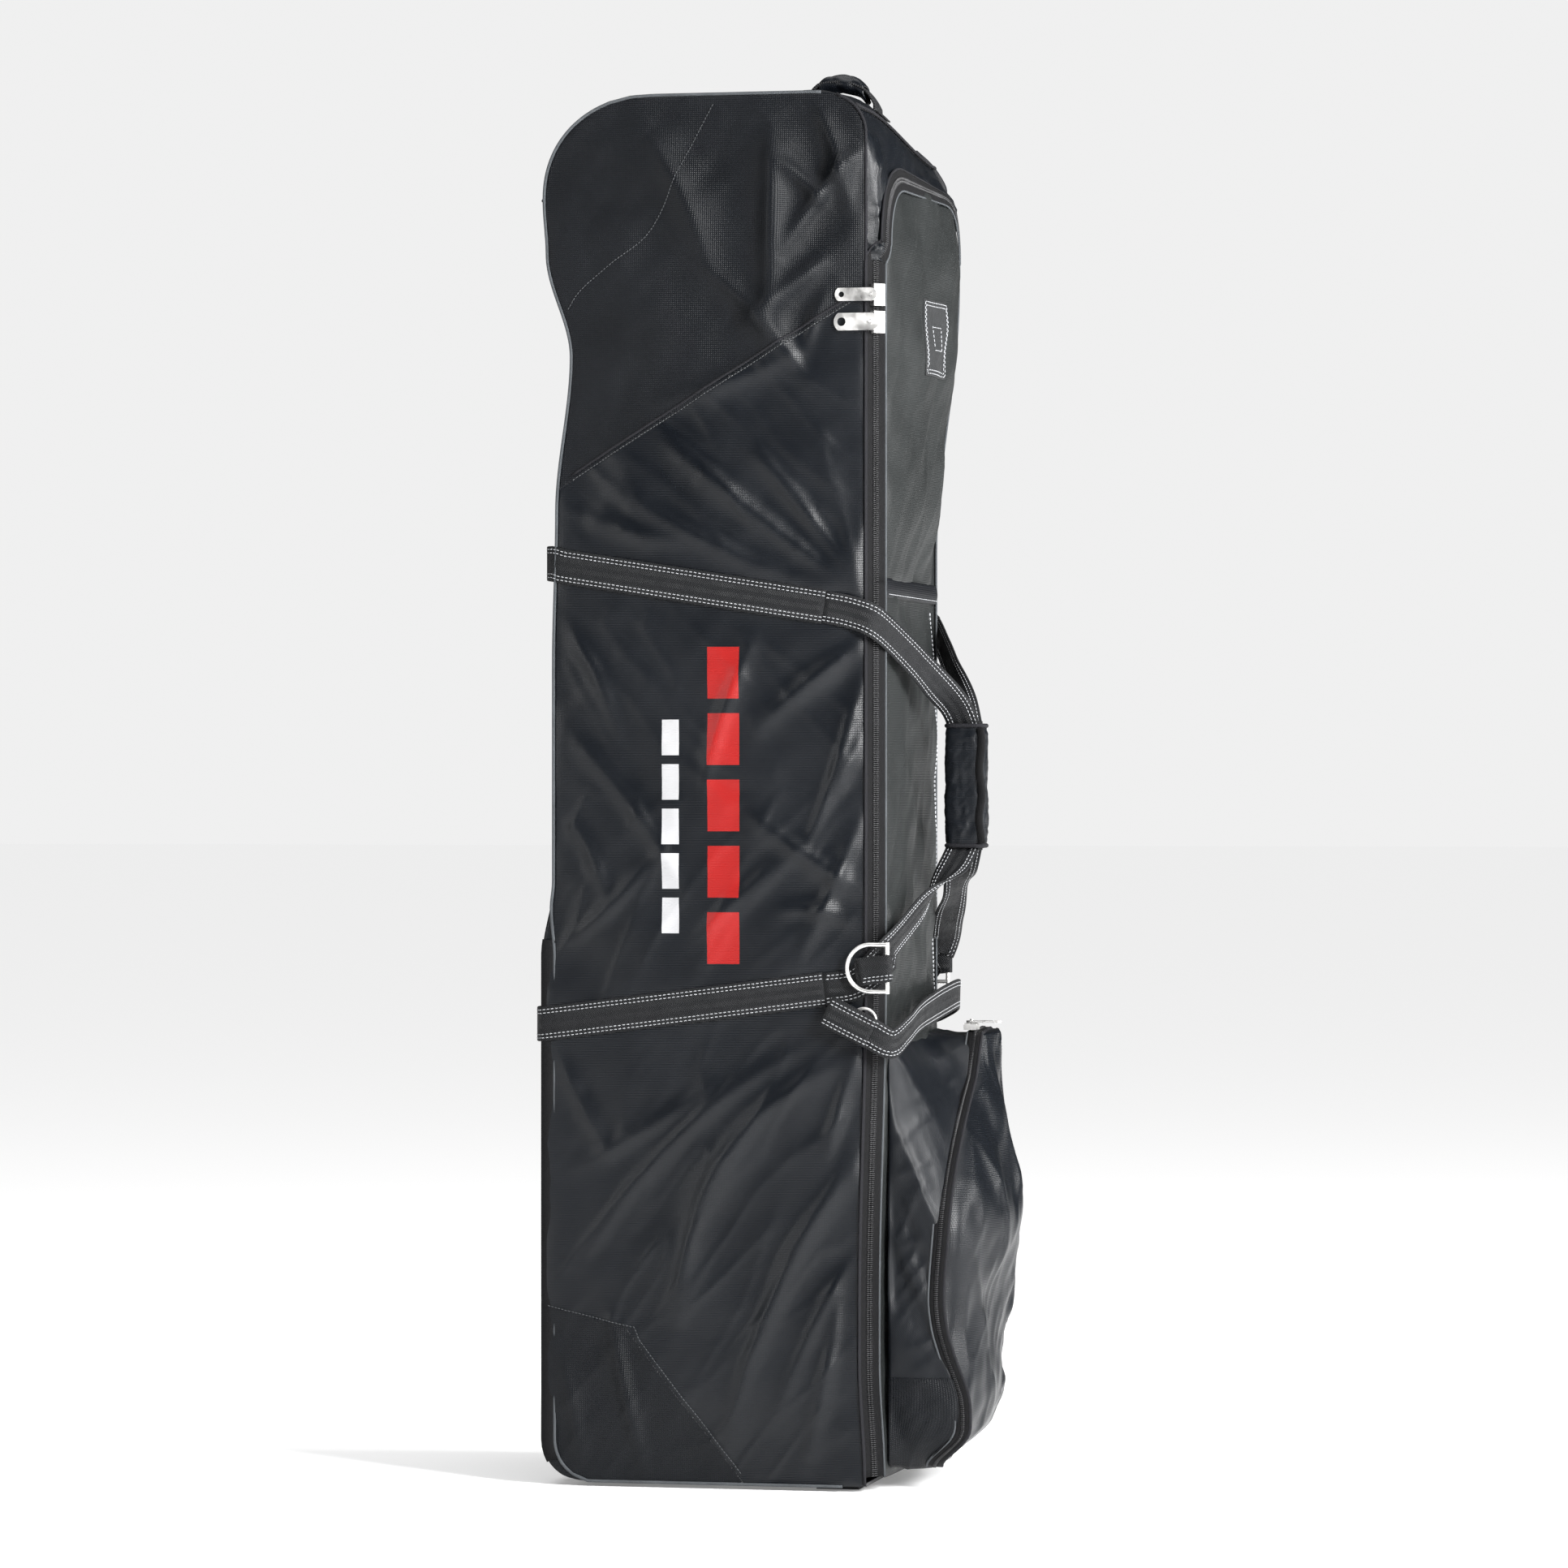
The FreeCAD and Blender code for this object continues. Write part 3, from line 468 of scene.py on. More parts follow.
def finish_panel(piece, nodes=(), thick=1.6, lined=False):
    """Wall thickness, a lining on the inner face, and the CAD nodes that the piece replaces."""
    wall = piece.modifiers.new("Wall", "SOLIDIFY")
    wall.thickness, wall.offset = thick * MM, -1
    if lined:
        piece.data.materials.append(LINING)
        wall.material_offset = 1
    if nodes:
        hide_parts(*nodes)
    return piece


class Panel:
    """A cloth panel under construction: where it lies, its first wrinkles, and how large it is cut."""

    def __init__(self):
        self.base, self.start, self.rest, self.normals, self.pins, self.uvs = ([] for _ in range(6))

    def add(self, spot, normal, seed, rest, fixed, uv):
        """One point in case millimetres; seed is how far its first wrinkle stands off, unless it is sewn."""
        spot, normal = np.asarray(spot, float), np.asarray(normal, float)
        self.base.append(at(*spot))
        self.start.append(at(*(spot + normal * (0 if fixed else seed))))
        self.rest.append(at(*rest))
        self.normals.append(normal)
        self.pins.append(1.0 if fixed else 0.0)
        self.uvs.append((uv[0] * MM, uv[1] * MM))

    def settle(self, name, faces, cloth, folds, nodes, body="case", limits=(-4.0, 9.0), bending=0.6,
               lined=True):
        """Settle the panel within limits about its base, then raise its folds and give it a wall."""
        piece = mesh_piece(name, self.start, faces, self.uvs, cloth, body)
        loose = piece.data.attributes.new("loose", "FLOAT", "POINT")
        loose.data.foreach_set("value", looseness(piece.data, self.pins))
        base, normals = np.array([tuple(p) for p in self.base]), np.array(self.normals)
        settled = relax(piece, self.pins, self.rest, bending)
        offset = np.sum((settled - base) * normals, axis=1)
        limit = np.clip(offset, limits[0] * MM, limits[1] * MM)
        set_points(piece, settled + normals * (limit - offset)[:, None])
        raise_folds(piece, folds)
        return finish_panel(piece, nodes, lined=lined)


class Surface:
    """The settled cloth of a piece, to lay trim on."""

    def __init__(self, piece):
        mesh = piece.data
        points = [vertex.co.copy() for vertex in mesh.vertices]
        self.tree = BVHTree.FromPolygons(points, [tuple(polygon.vertices) for polygon in mesh.polygons])

    def below(self, point, direction, lift):
        """Point in millimetres where a line meets the cloth, and a little above it."""
        ray = Vector(direction).normalized()
        hit = self.tree.ray_cast(at(*point) - ray * 0.08, ray)[0]
        spot = hit if hit is not None else at(*point)
        return unslouched(spot - ray * lift * MM)

    def line(self, points, direction, lift):
        return np.array([self.below(point, direction, lift) for point in points])


def crumple(points, turn, number, size=26.0, stretch=3.0, drop=1):
    """Sharp little ridges, longer along one direction; drop is the axis that runs through the cloth."""
    u, v = (points[:, axis] for axis in range(3) if axis != drop)
    c, s = np.cos(turn), np.sin(turn)
    along, across = (u * c + v * s) / (size * stretch), (v * c - u * s) / size
    values = np.empty(len(points))
    for index, (a, b) in enumerate(zip(along, across)):
        spot = Vector((a, b, number * 7.3))
        first = 1 - abs(noise.noise(spot)) * 2.2
        second = 1 - abs(noise.noise(spot * 2.3)) * 2.2
        values[index] = max(first, 0) ** 3 + 0.4 * max(second, 0) ** 3 * max(first, 0)
    return values


def long_folds(u, v, folds):
    """Height of single folds; each has a start, a bend and an end in the cloth, a width and a height."""
    total = np.zeros(len(u))
    for start, bend, finish, width, height in folds:
        t = np.linspace(0, 1, 13)[:, None]
        line = (1 - t) ** 2 * np.array(start) + 2 * t * (1 - t) * np.array(bend) + t ** 2 * np.array(finish)
        best, where = np.full(len(u), 1e9), np.zeros(len(u))
        for index, (a, b) in enumerate(zip(line[:-1], line[1:])):
            step = b - a
            share = np.clip(((u - a[0]) * step[0] + (v - a[1]) * step[1]) / (step @ step), 0, 1)
            away = np.hypot(u - a[0] - share * step[0], v - a[1] - share * step[1])
            nearer = away < best
            best = np.where(nearer, away, best)
            where = np.where(nearer, (index + share) / 12, where)
        taper = np.sin(np.pi * np.clip(where, 0.02, 0.98)) ** 0.7
        crest = np.exp(-(np.sqrt(best ** 2 + 2.0) - 1.4) / width)
        total += height * taper * (crest - 0.4 * np.exp(-(best / (2.4 * width)) ** 2))
    return total


def fold_seed(x, z, number):
    """Soft slanting folds that start the wrinkles."""
    broad = noise.noise(Vector((x * 0.016 + z * 0.007, z * 0.011 - x * 0.008, 3.1 + number)))
    fine = noise.noise(Vector((x * 0.045 - z * 0.02, z * 0.03, 9.7 + number)))
    return broad + 0.5 * fine


# ---------------------------------------------------------------- outline of the case

HEEL, SHOULDER = 43.0, 1190.0       # levels between which the back edge follows its knots
HEEL_BEND = 38
HEAD_MIDDLE, HEAD_REACH = -60, 98   # middle and depth of the round back of the head
CORNER_DEEP, CORNER_TALL = 36, 35   # rounded upper front corner of the side
BACK_KNOTS = ((HEEL, -160), (490, -160), (560, -149), (760, -149), (900, -146), (1045, -132),
              (1140, -155), (SHOULDER, -158))


def back_edge(z):
    """Back edge of the side, from heel to head."""
    if z < HEEL:
        return HEEL_BEND - 160 - math.sqrt(max(HEEL_BEND ** 2 - (HEEL - z) ** 2, 0))
    if z > SHOULDER:
        share = (z - SHOULDER) / (TOP - SHOULDER)
        return HEAD_MIDDLE - HEAD_REACH * math.sqrt(max(1 - share ** 2.2, 0))
    for (low, start), (high, finish) in zip(BACK_KNOTS, BACK_KNOTS[1:]):
        if z <= high:
            return start + (finish - start) * smooth(z, low, high)
    return BACK_KNOTS[-1][1]


def corner_sway(z):
    """How far the front corner and its zip wander back from a straight line."""
    return -6 * smooth(z, 470, 170) * (1 - 0.8 * smooth(z, 120, 10)) if z < 470 else 0.0


def front_edge(z):
    above = (z - TOP + CORNER_TALL) / CORNER_TALL
    if above > 0:
        return EDGE - CORNER_DEEP + CORNER_DEEP * math.sqrt(max(1 - above ** 2, 0))
    return EDGE + corner_sway(z)


def belly(x, z):
    """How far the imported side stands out, in millimetres."""
    middle = (back_edge(z) + front_edge(z)) / 2
    half = (front_edge(z) - back_edge(z)) / 2
    across = max(1 - ((x - middle) / half) ** 2, 0) ** 0.75
    return 9.0 * across * smooth(z, FLOOR_GAP, 130) * smooth(z, TOP, 1150)


def band_level(x, back, front):
    """Level of a webbing's middle line along the side."""
    return back + (front - back) * (x - BACK) / (EDGE - BACK)


# ---------------------------------------------------------------- straps, cords and stitches

def unit(vectors):
    return vectors / np.maximum(np.linalg.norm(vectors, axis=-1, keepdims=True), 1e-9)


def distances(line):
    """Distance along a line at each of its points."""
    return np.concatenate([[0], np.cumsum(np.linalg.norm(np.diff(line, axis=0), axis=1))])


def run_of(path):
    """Distance along a path at each of its points, and its directions."""
    return distances(path), unit(np.gradient(path, axis=0))


def read_off(where, run, field):
    """Values of a field of triples at some distances along a run."""
    return np.array([np.interp(where, run, field[:, k]) for k in range(3)]).T


def spaced(line, step):
    """Points an even step apart along a line."""
    line = np.asarray(line, float)
    run = distances(line)
    return read_off(np.linspace(0, run[-1], max(int(run[-1] / step), 2) + 1), run, line)


def spline(knots, step=6.0):
    """Smooth curve in millimetres through the knots, resampled at about one step."""
    knots = [np.array(knot, float) for knot in knots]
    ends = [2 * knots[0] - knots[1]] + knots + [2 * knots[-1] - knots[-2]]
    dense = []
    for a, b, c, d in zip(ends, ends[1:], ends[2:], ends[3:]):
        count = max(int(np.linalg.norm(c - b) / step), 2)
        for index in range(count):
            t = index / count
            dense.append(0.5 * (2 * b + (c - a) * t + (2 * a - 5 * b + 4 * c - d) * t ** 2
                                + (3 * b - a - 3 * c + d) * t ** 3))
    return np.array(dense + [knots[-1]])


def strap_frame(path, across):
    """Face normals and width directions of a flat strap along a path."""
    _, along = run_of(path)
    face = unit(np.cross(along, np.broadcast_to(np.asarray(across, float), path.shape)))
    return face, unit(np.cross(face, along))


def strap(name, path, across, width, thick, material, body="case", sag=0.0):
    """Flat webbing along a path; across is its width direction, one for all points or one each."""
    path = np.asarray(path, float)
    face, side = strap_frame(path, across)
    half, deep, rounding = width / 2, thick / 2, 0.4
    outline = [(-half, 0), (rounding - half, deep), (-half / 2, deep + sag), (0, deep + sag),
               (half / 2, deep + sag), (half - rounding, deep), (half, 0), (half - rounding, -deep),
               (0, -deep + sag), (rounding - half, -deep)]
    points, uvs = [], []
    for centre, right, up, run in zip(path, side, face, distances(path)):
        for u, v in outline:
            points.append(at(*(centre + right * u + up * v)))
            uvs.append((u * MM, run * MM))
    return mesh_piece(name, points, tube_faces(len(path), len(outline)), uvs, material, body)


def cord(name, path, radius, material, body="case", closed=False):
    """Round tube along a path."""
    path, sides = np.asarray(path, float), 7
    length, along = run_of(path)
    start = np.array([0.31, 0.67, 0.22]) if abs(along[0][0]) > 0.6 else np.array([1.0, 0.1, 0.07])
    points, uvs = [], []
    normal = unit(np.cross(along[0], start))
    for centre, run, distance in zip(path, along, length):
        normal = unit(normal - run * np.dot(normal, run))
        other = np.cross(run, normal)
        for index in range(sides):
            turn = 2 * math.pi * index / sides
            points.append(at(*(centre + radius * (normal * math.cos(turn) + other * math.sin(turn)))))
            uvs.append((radius * turn * MM, distance * MM))
    return mesh_piece(name, points, tube_faces(len(path), sides, closed), uvs, material, body)


def dashes(name, rows, face, material, body="case", pitch=4.2, length=2.9, radius=0.42):
    """Thread: short raised dashes along each path; face is their outward normal, or each path's normals."""
    points, faces, uvs = [], [], []
    rings = ((-0.5, 0.35), (-0.28, 1.0), (0.28, 1.0), (0.5, 0.35))
    corners = ((1, 0), (0, 1), (-1, 0), (0, -0.6))
    shape = tube_faces(len(rings), len(corners))
    if isinstance(face, tuple):
        face = [np.tile(np.array(face, float), (len(path), 1)) for path in rows]
    for path, normals in zip(rows, face):
        run, along = run_of(np.asarray(path, float))
        where = (np.arange(int(run[-1] / pitch)) + 0.5) * pitch
        for centre, ahead, up in zip(*(read_off(where, run, field) for field in (path, along, normals))):
            ahead, up = unit(ahead), unit(up)
            right = np.cross(ahead, up)
            base = len(points)
            faces += [tuple(base + index for index in quad) for quad in shape]
            for offset, swell in rings:
                for u, v in corners:
                    out = radius * swell * (right * u + up * v)
                    points.append(at(*(centre + ahead * offset * length + out)))
                    uvs.append((u * MM, offset * MM))
    return mesh_piece(name, points, faces, uvs, material, body)


def webbing(name, path, across, body="case", width=WEB, rows=4, both=False):
    """Webbing strap with its double rows of pale stitching, as one strap piece and one thread piece."""
    path, thick = np.asarray(path, float), 1.6
    piece = strap(name, path, across, width, thick, WEBBING, body)
    face, side = strap_frame(path, across)
    offsets = [width / 2 - 3.0, width / 2 - 6.2, 3.0 - width / 2, 6.2 - width / 2][:rows]
    lift = thick / 2 + 0.15
    lines, normals = [], []
    for way in (1, -1) if both else (1,):
        lines += [path + side * offset + face * lift * way for offset in offsets]
        normals += [face * way] * len(offsets)
    return piece, dashes(name + "_stitches", lines, normals, THREAD, body)


# ---------------------------------------------------------------- side panels

SIDE_FOLDS = (
    # the head
    ((56, 1262), (66, 1170), (54, 1046), 24, 11.0), ((146, 1236), (110, 1205), (66, 1132), 13, 9.0),
    ((146, 1150), (90, 1120), (34, 1070), 14, 8.0), ((100, 1272), (128, 1225), (134, 1160), 11, 7.0),
    ((-10, 1130), (45, 1095), (92, 1020), 14, 6.0), ((-62, 1250), (-24, 1210), (6, 1110), 22, 6.0),
    ((130, 1120), (100, 1090), (92, 1050), 9, 6.0), ((60, 1225), (92, 1206), (108, 1180), 9, 6.0),
    # a fan from the upper webbing and the front corner
    ((140, 828), (98, 900), (36, 960), 9, 5.5), ((140, 826), (62, 880), (-56, 978), 11, 6.0),
    ((136, 824), (20, 848), (-92, 926), 10, 5.0), ((143, 830), (122, 895), (104, 976), 8, 5.0),
    ((144, 832), (146, 905), (132, 1010), 8, 3.5), ((-138, 905), (-84, 880), (-20, 870), 8, 3.5),
    ((-60, 1000), (10, 1010), (96, 1052), 12, 3.5),
    # between the two webbings
    ((150, 782), (105, 755), (44, 700), 9, 5.5), ((146, 765), (130, 680), (90, 585), 8, 5.0),
    ((148, 548), (100, 575), (36, 622), 9, 5.5), ((148, 515), (100, 545), (60, 530), 7, 4.0),
    ((-138, 700), (-70, 640), (-20, 548), 10, 4.5), ((-145, 498), (-90, 530), (-44, 590), 8, 4.0),
    ((148, 630), (120, 560), (84, 486), 9, 4.5), ((46, 790), (10, 720), (-8, 628), 9, 3.5),
    ((148, 700), (126, 660), (118, 640), 7, 5.0), ((-20, 500), (20, 540), (96, 600), 9, 4.0),
    ((-140, 800), (-104, 760), (-84, 690), 9, 4.0), ((-140, 620), (-110, 600), (-96, 540), 8, 4.0),
    # below the lower webbing
    ((136, 398), (-26, 336), (-28, 140), 17, 7.0), ((98, 412), (-40, 345), (-122, 204), 11, 5.0),
    ((148, 312), (60, 215), (14, 36), 13, 6.0), ((122, 180), (112, 110), (90, 22), 9, 4.5),
    ((-145, 402), (-120, 350), (-92, 305), 8, 3.5), ((-138, 290), (-50, 330), (18, 384), 8, 3.0),
    ((148, 235), (100, 170), (60, 60), 8, 3.5), ((148, 420), (120, 360), (110, 300), 8, 4.5),
    ((-95, 168), (-80, 95), (-62, 12), 9, 5.0), ((-140, 120), (-128, 70), (-122, 20), 9, 3.5))
YOKE_X, YOKE_Z = 119, 1088          # a place on the slanting seam below the heavy cloth of the head
YOKE_SLOPE = (YOKE_Z - 936) / (YOKE_X + 130)
HEEL_CUTS = (((-87, 0, 152), (0.22, 0, 1)), ((-60, 0, 124), (0.8, 0, 0.62)))


def yoke_level(x):
    return YOKE_Z + YOKE_SLOPE * (x - YOKE_X)


def on_band(x, z):
    return any(abs(z - band_level(x, *levels)) < WEB / 2 - 3 for levels in (UPPER, LOWER))


def under_pulls(x, z):
    """1 on most of a side, less where the zip's sliders and their pulls pass."""
    near_edge = np.clip((x - 96) / 18, 0, 1)
    level = np.clip((z - 868) / 26, 0, 1) * np.clip((1178 - z) / 30, 0, 1)
    return 1 - 0.85 * near_edge * level


def side_panel(name, side, node):
    rows, columns = 206, 54
    height = TOP - FLOOR_GAP
    places, pins = [], []
    for share, part, rim in cells(rows, columns):
        z = FLOOR_GAP + height * (share - 0.55 * math.sin(2 * math.pi * share) / (2 * math.pi))
        x = back_edge(z) + (front_edge(z) - back_edge(z)) * (part + 1) / 2
        places.append((x, z))
        pins.append(rim or on_band(x, z))
    u, v = np.array(places).T
    folds = long_folds(u, v, SIDE_FOLDS) * under_pulls(u, v)
    panel = Panel()
    for (x, z), fold, fixed in zip(places, folds, pins):
        y = side * (HALF + belly(x, z))
        panel.add((x, y, z), (0, side, 0), 1.4 * fold + 2.5 * fold_seed(x, z, side),
                  (x * 1.022 + 0.012 * z, y, z * 1.012 + 0.03 * x), fixed, (x, z))

    def fine_folds(spots):
        x, z = spots[:, 0], spots[:, 2]
        heavy = np.clip((z - yoke_level(x)) / 20, 0, 1)
        slant = np.where(z > 640, -0.75, 1.0)
        sharp = 0.85 * long_folds(x, z, SIDE_FOLDS) * under_pulls(x, z)
        return sharp + (1.1 - 0.7 * heavy) * crumple(spots, slant, side, stretch=4.5)

    piece = panel.settle(name, grid_faces(rows, columns, side > 0), SHINY_MARKED, fine_folds, [node],
                         limits=(-7.0, 13.0), bending=2.5)
    return piece


def overlay(name, source, cuts, nodes=(), lift=0.5):
    """Heavy cloth over part of a panel, cut off by planes given as (point, normal)."""
    mesh = bpy.data.meshes.new(name)
    work = bmesh.new()
    work.from_mesh(source.data)
    for point, normal in cuts:
        bmesh.ops.bisect_plane(work, geom=work.verts[:] + work.edges[:] + work.faces[:], dist=1e-5,
                               plane_co=at(*point), plane_no=normal, clear_outer=True)
    work.normal_update()
    for vertex in work.verts:
        vertex.co += vertex.normal * lift * MM
    work.to_mesh(mesh)
    work.free()
    mesh.materials.clear()
    mesh.materials.append(HEAVY)
    mesh.polygons.foreach_set("material_index", [0] * len(mesh.polygons))
    piece = bpy.data.objects.new(name, mesh)
    bpy.context.collection.objects.link(piece)
    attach(piece, "case")
    return finish_panel(piece, nodes, 0.9)


def side_trim(side, name, panel):
    """Yoke, heel patch, seams, piping and stitches of one side."""
    surface, nodes = Surface(panel), [["head_yokes"], ["heel_patches"]] if side < 0 else [[], []]

    def line(places, lift):
        return surface.line([(x, side * (HALF + 20), z) for x, z in places], (0, -side, 0), lift)

    overlay(f"head_yoke_{name}", panel, [((YOKE_X, 0, YOKE_Z), (YOKE_SLOPE, 0, -1))], nodes[0])
    overlay(f"heel_patch_{name}", panel, HEEL_CUTS, nodes[1])
    edge = [(back_edge(z) + 5.5, side * (HALF + 1.2), z) for z in np.linspace(24, 505, 80)]
    strap(f"back_binding_{name}", edge, (1, 0, 0), 12.5, 1.6, TAPE)
    levels = np.linspace(FLOOR_GAP + 1, TOP - 1, 260)
    out = side * (HALF + 0.9)
    rim = [(x, out, TOP) for x in np.linspace(104, -54, 30)]
    rim += [(back_edge(z) + 12 * smooth(z, 545, 490), out, z) for z in levels[::-1]]
    rim += [(x, out, FLOOR_GAP) for x in np.linspace(-116, EDGE - 22, 40)]
    piping = cord(f"side_piping_{name}", spaced(rim, 5.0), 1.5, PIPING)
    if side < 0:
        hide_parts("edge_piping")
    front = [(front_edge(z), out, z) for z in levels]
    cord(f"front_piping_{name}", spaced(front, 5.0), 1.5, BLACK_BINDING)
    seam_x = np.linspace(-131, 143, 46)
    cord(f"yoke_seam_{name}", line([(x, yoke_level(x)) for x in seam_x], 1.3), 1.3, BLACK_BINDING)
    shoulder = spline([(-135, 0, 1088), (-122, 0, 1106), (-92, 0, 1130), (-62, 0, 1152), (-44, 0, 1178),
                       (-24, 0, 1225), (4, 0, 1279)], 5.0)
    heel = [(x, 152 - 0.22 * (x + 87)) for x in np.linspace(-154, -70, 16)]
    heel += [(-70 + k * 4.6, max(143 - k * 5.95, 9)) for k in range(1, 23)]
    below_seam = [(x, yoke_level(x) - 5) for x in seam_x]
    rows = [line(below_seam, 0.9), line(shoulder[:, ::2], 1.7), line(heel, 1.9)]
    dashes(f"side_stitches_{name}", rows, (0.0, side, 0.0), DARK_THREAD, pitch=3.4, length=2.4, radius=0.32)


# ---------------------------------------------------------------- back, top, lid and head

def wrap_panel(name, path, number, node, cloth=SHINY, bulge=6.0, bands=(), drop=2):
    """Panel that runs along a path in the XZ plane and across the case from side to side."""
    half, columns, middle = HALF - 1.5, 36, np.array([0, 0, 640])
    path = np.array([(x, 0, z) for x, z in path], float)
    run, along = run_of(path)
    out = np.cross(along, (0, 1, 0))
    out = unit(out * np.sign(np.sum(out * (path - middle), axis=1)).mean())
    panel = Panel()
    for row, (centre, normal, distance) in enumerate(zip(path, out, run)):
        ends = smooth(min(distance, run[-1] - distance), -4, 36)
        sewn = row in (0, len(path) - 1) or any(abs(centre[2] - level) < WEB / 2 - 3 for level in bands)
        for column in range(columns):
            part = 2 * column / (columns - 1) - 1
            spot = centre + normal * bulge * (1 - part ** 2) ** 0.8 * ends + np.array([0, half * part, 0])
            panel.add(spot, normal, 6.0 * fold_seed(half * part, distance, number),
                      spot * (1.02, 1.03, 1.02), sewn or column in (0, columns - 1), (half * part, distance))
    piece = panel.settle(name, grid_faces(len(path), columns, True), cloth,
                         lambda spots: 1.3 * crumple(spots, 0.35, number, size=34.0, drop=drop), [node])


def arch_half(z):
    """Half width of the lid at a height, with its rounded top."""
    above = max(z - (LID_TOP - LID_BEND), 0)
    return LID_HALF - LID_BEND + math.sqrt(max(LID_BEND ** 2 - above ** 2, 0))


def lid_panel(name, low, high, body, node, number, bulge, rows):
    """Part of the lid; both parts lie flat at the fold between them."""
    columns, fixed_part = 40, body == "case"
    panel = Panel()
    for share, part, rim in cells(rows, columns):
        z = low + (high - low) * (share + (0 if fixed_part else 0.12 * math.sin(math.pi * share)))
        y = arch_half(z) * part
        swell = bulge * (1 - part ** 2) ** 0.7 * smooth(z, low - (60 if fixed_part else 2), low + 80)
        swell *= smooth(z, high + (2 if fixed_part else 20), high - 90)
        x = FRONT + 0.6 * corner_sway(z) * abs(part) + swell
        panel.add((x, y, z), (1, 0, 0), 5.0 * fold_seed(y, z, number), (x, y * 1.035, z * 1.012), rim,
                  (y, z))
    piece = panel.settle(name, grid_faces(rows, columns), SHINY_LID,
                         lambda spots: 1.1 * crumple(spots, 1.1, number, size=38.0, drop=0), [node], body,
                         (-4.0, 4.0), 1.5)
    return piece


ARCH_TURN = 14                      # points of each round corner of the arch
ARCH_FOOT = LID_TOP - LID_BEND - 16


def arch_line(grow, low=ARCH_FOOT):
    """Near foot of the arch, over the top, to the far foot, as (y, z)."""
    half, bend = LID_HALF + grow, LID_BEND + grow
    centre_y, centre_z = half - bend, LID_TOP - LID_BEND
    turns = np.linspace(0, math.pi / 2, ARCH_TURN)
    line = [(-half, low + (centre_z - low) * k / 8) for k in range(8)]
    line += [(-centre_y - bend * math.cos(a), centre_z + bend * math.sin(a)) for a in turns]
    line += [(-centre_y + 2 * centre_y * k / 10, centre_z + bend) for k in range(1, 10)]
    line += [(centre_y + bend * math.sin(a), centre_z + bend * math.cos(a)) for a in turns]
    line += [(half, centre_z - (centre_z - low) * k / 8) for k in range(1, 9)]
    return line


def head_edge(y, z):
    """Place on the head's outline, along its sides and top, for a place on the arch."""
    last = ARCH_TURN - 1
    half, centre_z = LID_HALF + 2, LID_TOP - LID_BEND
    side, centre_y = math.copysign(1, y), half - LID_BEND - 2
    wide, tall = HALF - 1 - centre_y, TOP - 9 - centre_z
    if z <= centre_z:
        return side * (HALF - 1), z
    if abs(y) <= centre_y:
        return y, TOP - 9
    corner = math.atan2(tall, wide)
    turn = math.atan2(z - centre_z, abs(y) - centre_y)
    step, knee = (round(angle / (math.pi / 2) * last) for angle in (turn, corner))
    if step <= knee:
        turn = corner * step / knee
    else:
        turn = corner + (math.pi / 2 - corner) * (step - knee) / (last - knee)
    reach = min(wide / max(math.cos(turn), 1e-6), tall / max(math.sin(turn), 1e-6))
    return side * (centre_y + reach * math.cos(turn)), centre_z + reach * math.sin(turn)


def head_front():
    """Gathered cloth from the arch of the lid out to the sides and up to the top."""
    inner, columns = arch_line(2.0), 14
    panel = Panel()
    for index, (y, z) in enumerate(inner):
        edge_y, edge_z = head_edge(y, z)
        start = np.array([FRONT - 1, y, z])
        way = np.array([front_edge(edge_z) - 0.5, edge_y, edge_z]) - start
        side = max(min(y / (LID_HALF - 12), 1), -1)
        normal = unit(np.array([1.0, 0.25 * side, 0.5 * smooth(z, 1130, LID_TOP)]))
        for column in range(columns):
            t = column / (columns - 1)
            spot = start + way * t + normal * 5 * math.sin(math.pi * t)
            fixed = column in (0, columns - 1) or index in (0, len(inner) - 1)
            panel.add(spot, normal, 5 * fold_seed(index * 9, t * 60, 5), spot * (1.03, 1.05, 1.02), fixed,
                      (8 * index, 60 * t))
    piece = panel.settle("head_front_cloth", grid_faces(len(inner), columns, True), SHINY,
                         lambda spots: 2.4 * crumple(spots, 0.5, 43, size=18.0, drop=0),
                         ["head_front_panel"], limits=(-4.0, 7.0))


# ---------------------------------------------------------------- zips

def zip_line():
    """Middle of the main zip and its face normals: up the near corner, over the arch, down the far one."""
    foot = LID_TOP - LID_BEND
    half = [((EDGE + 7 + corner_sway(z), 7 - HALF, z), (1, -1, 0)) for z in np.linspace(14, foot - 18, 176)]
    for z in np.linspace(foot - 15, foot, 6):
        share = smooth(z, foot - 18, foot)
        half.append(((EDGE + 7 + share * (FRONT - EDGE - 6), 7 - HALF + share * (HALF - 8 - LID_HALF), z),
                     (1, 0.8 * share - 1, 0)))
    half += [((FRONT + 1.5, y, z), (1, 0.2 * y / LID_HALF, 0.12 * smooth(z, foot, LID_TOP)))
             for y, z in arch_line(1.0, foot)[8:-9] if y < -1]
    path, normals = (np.array(field, float) for field in zip(*half))
    mirror = (1, -1, 1)
    return np.vstack([path, path[::-1] * mirror]), unit(np.vstack([normals, normals[::-1] * mirror]))


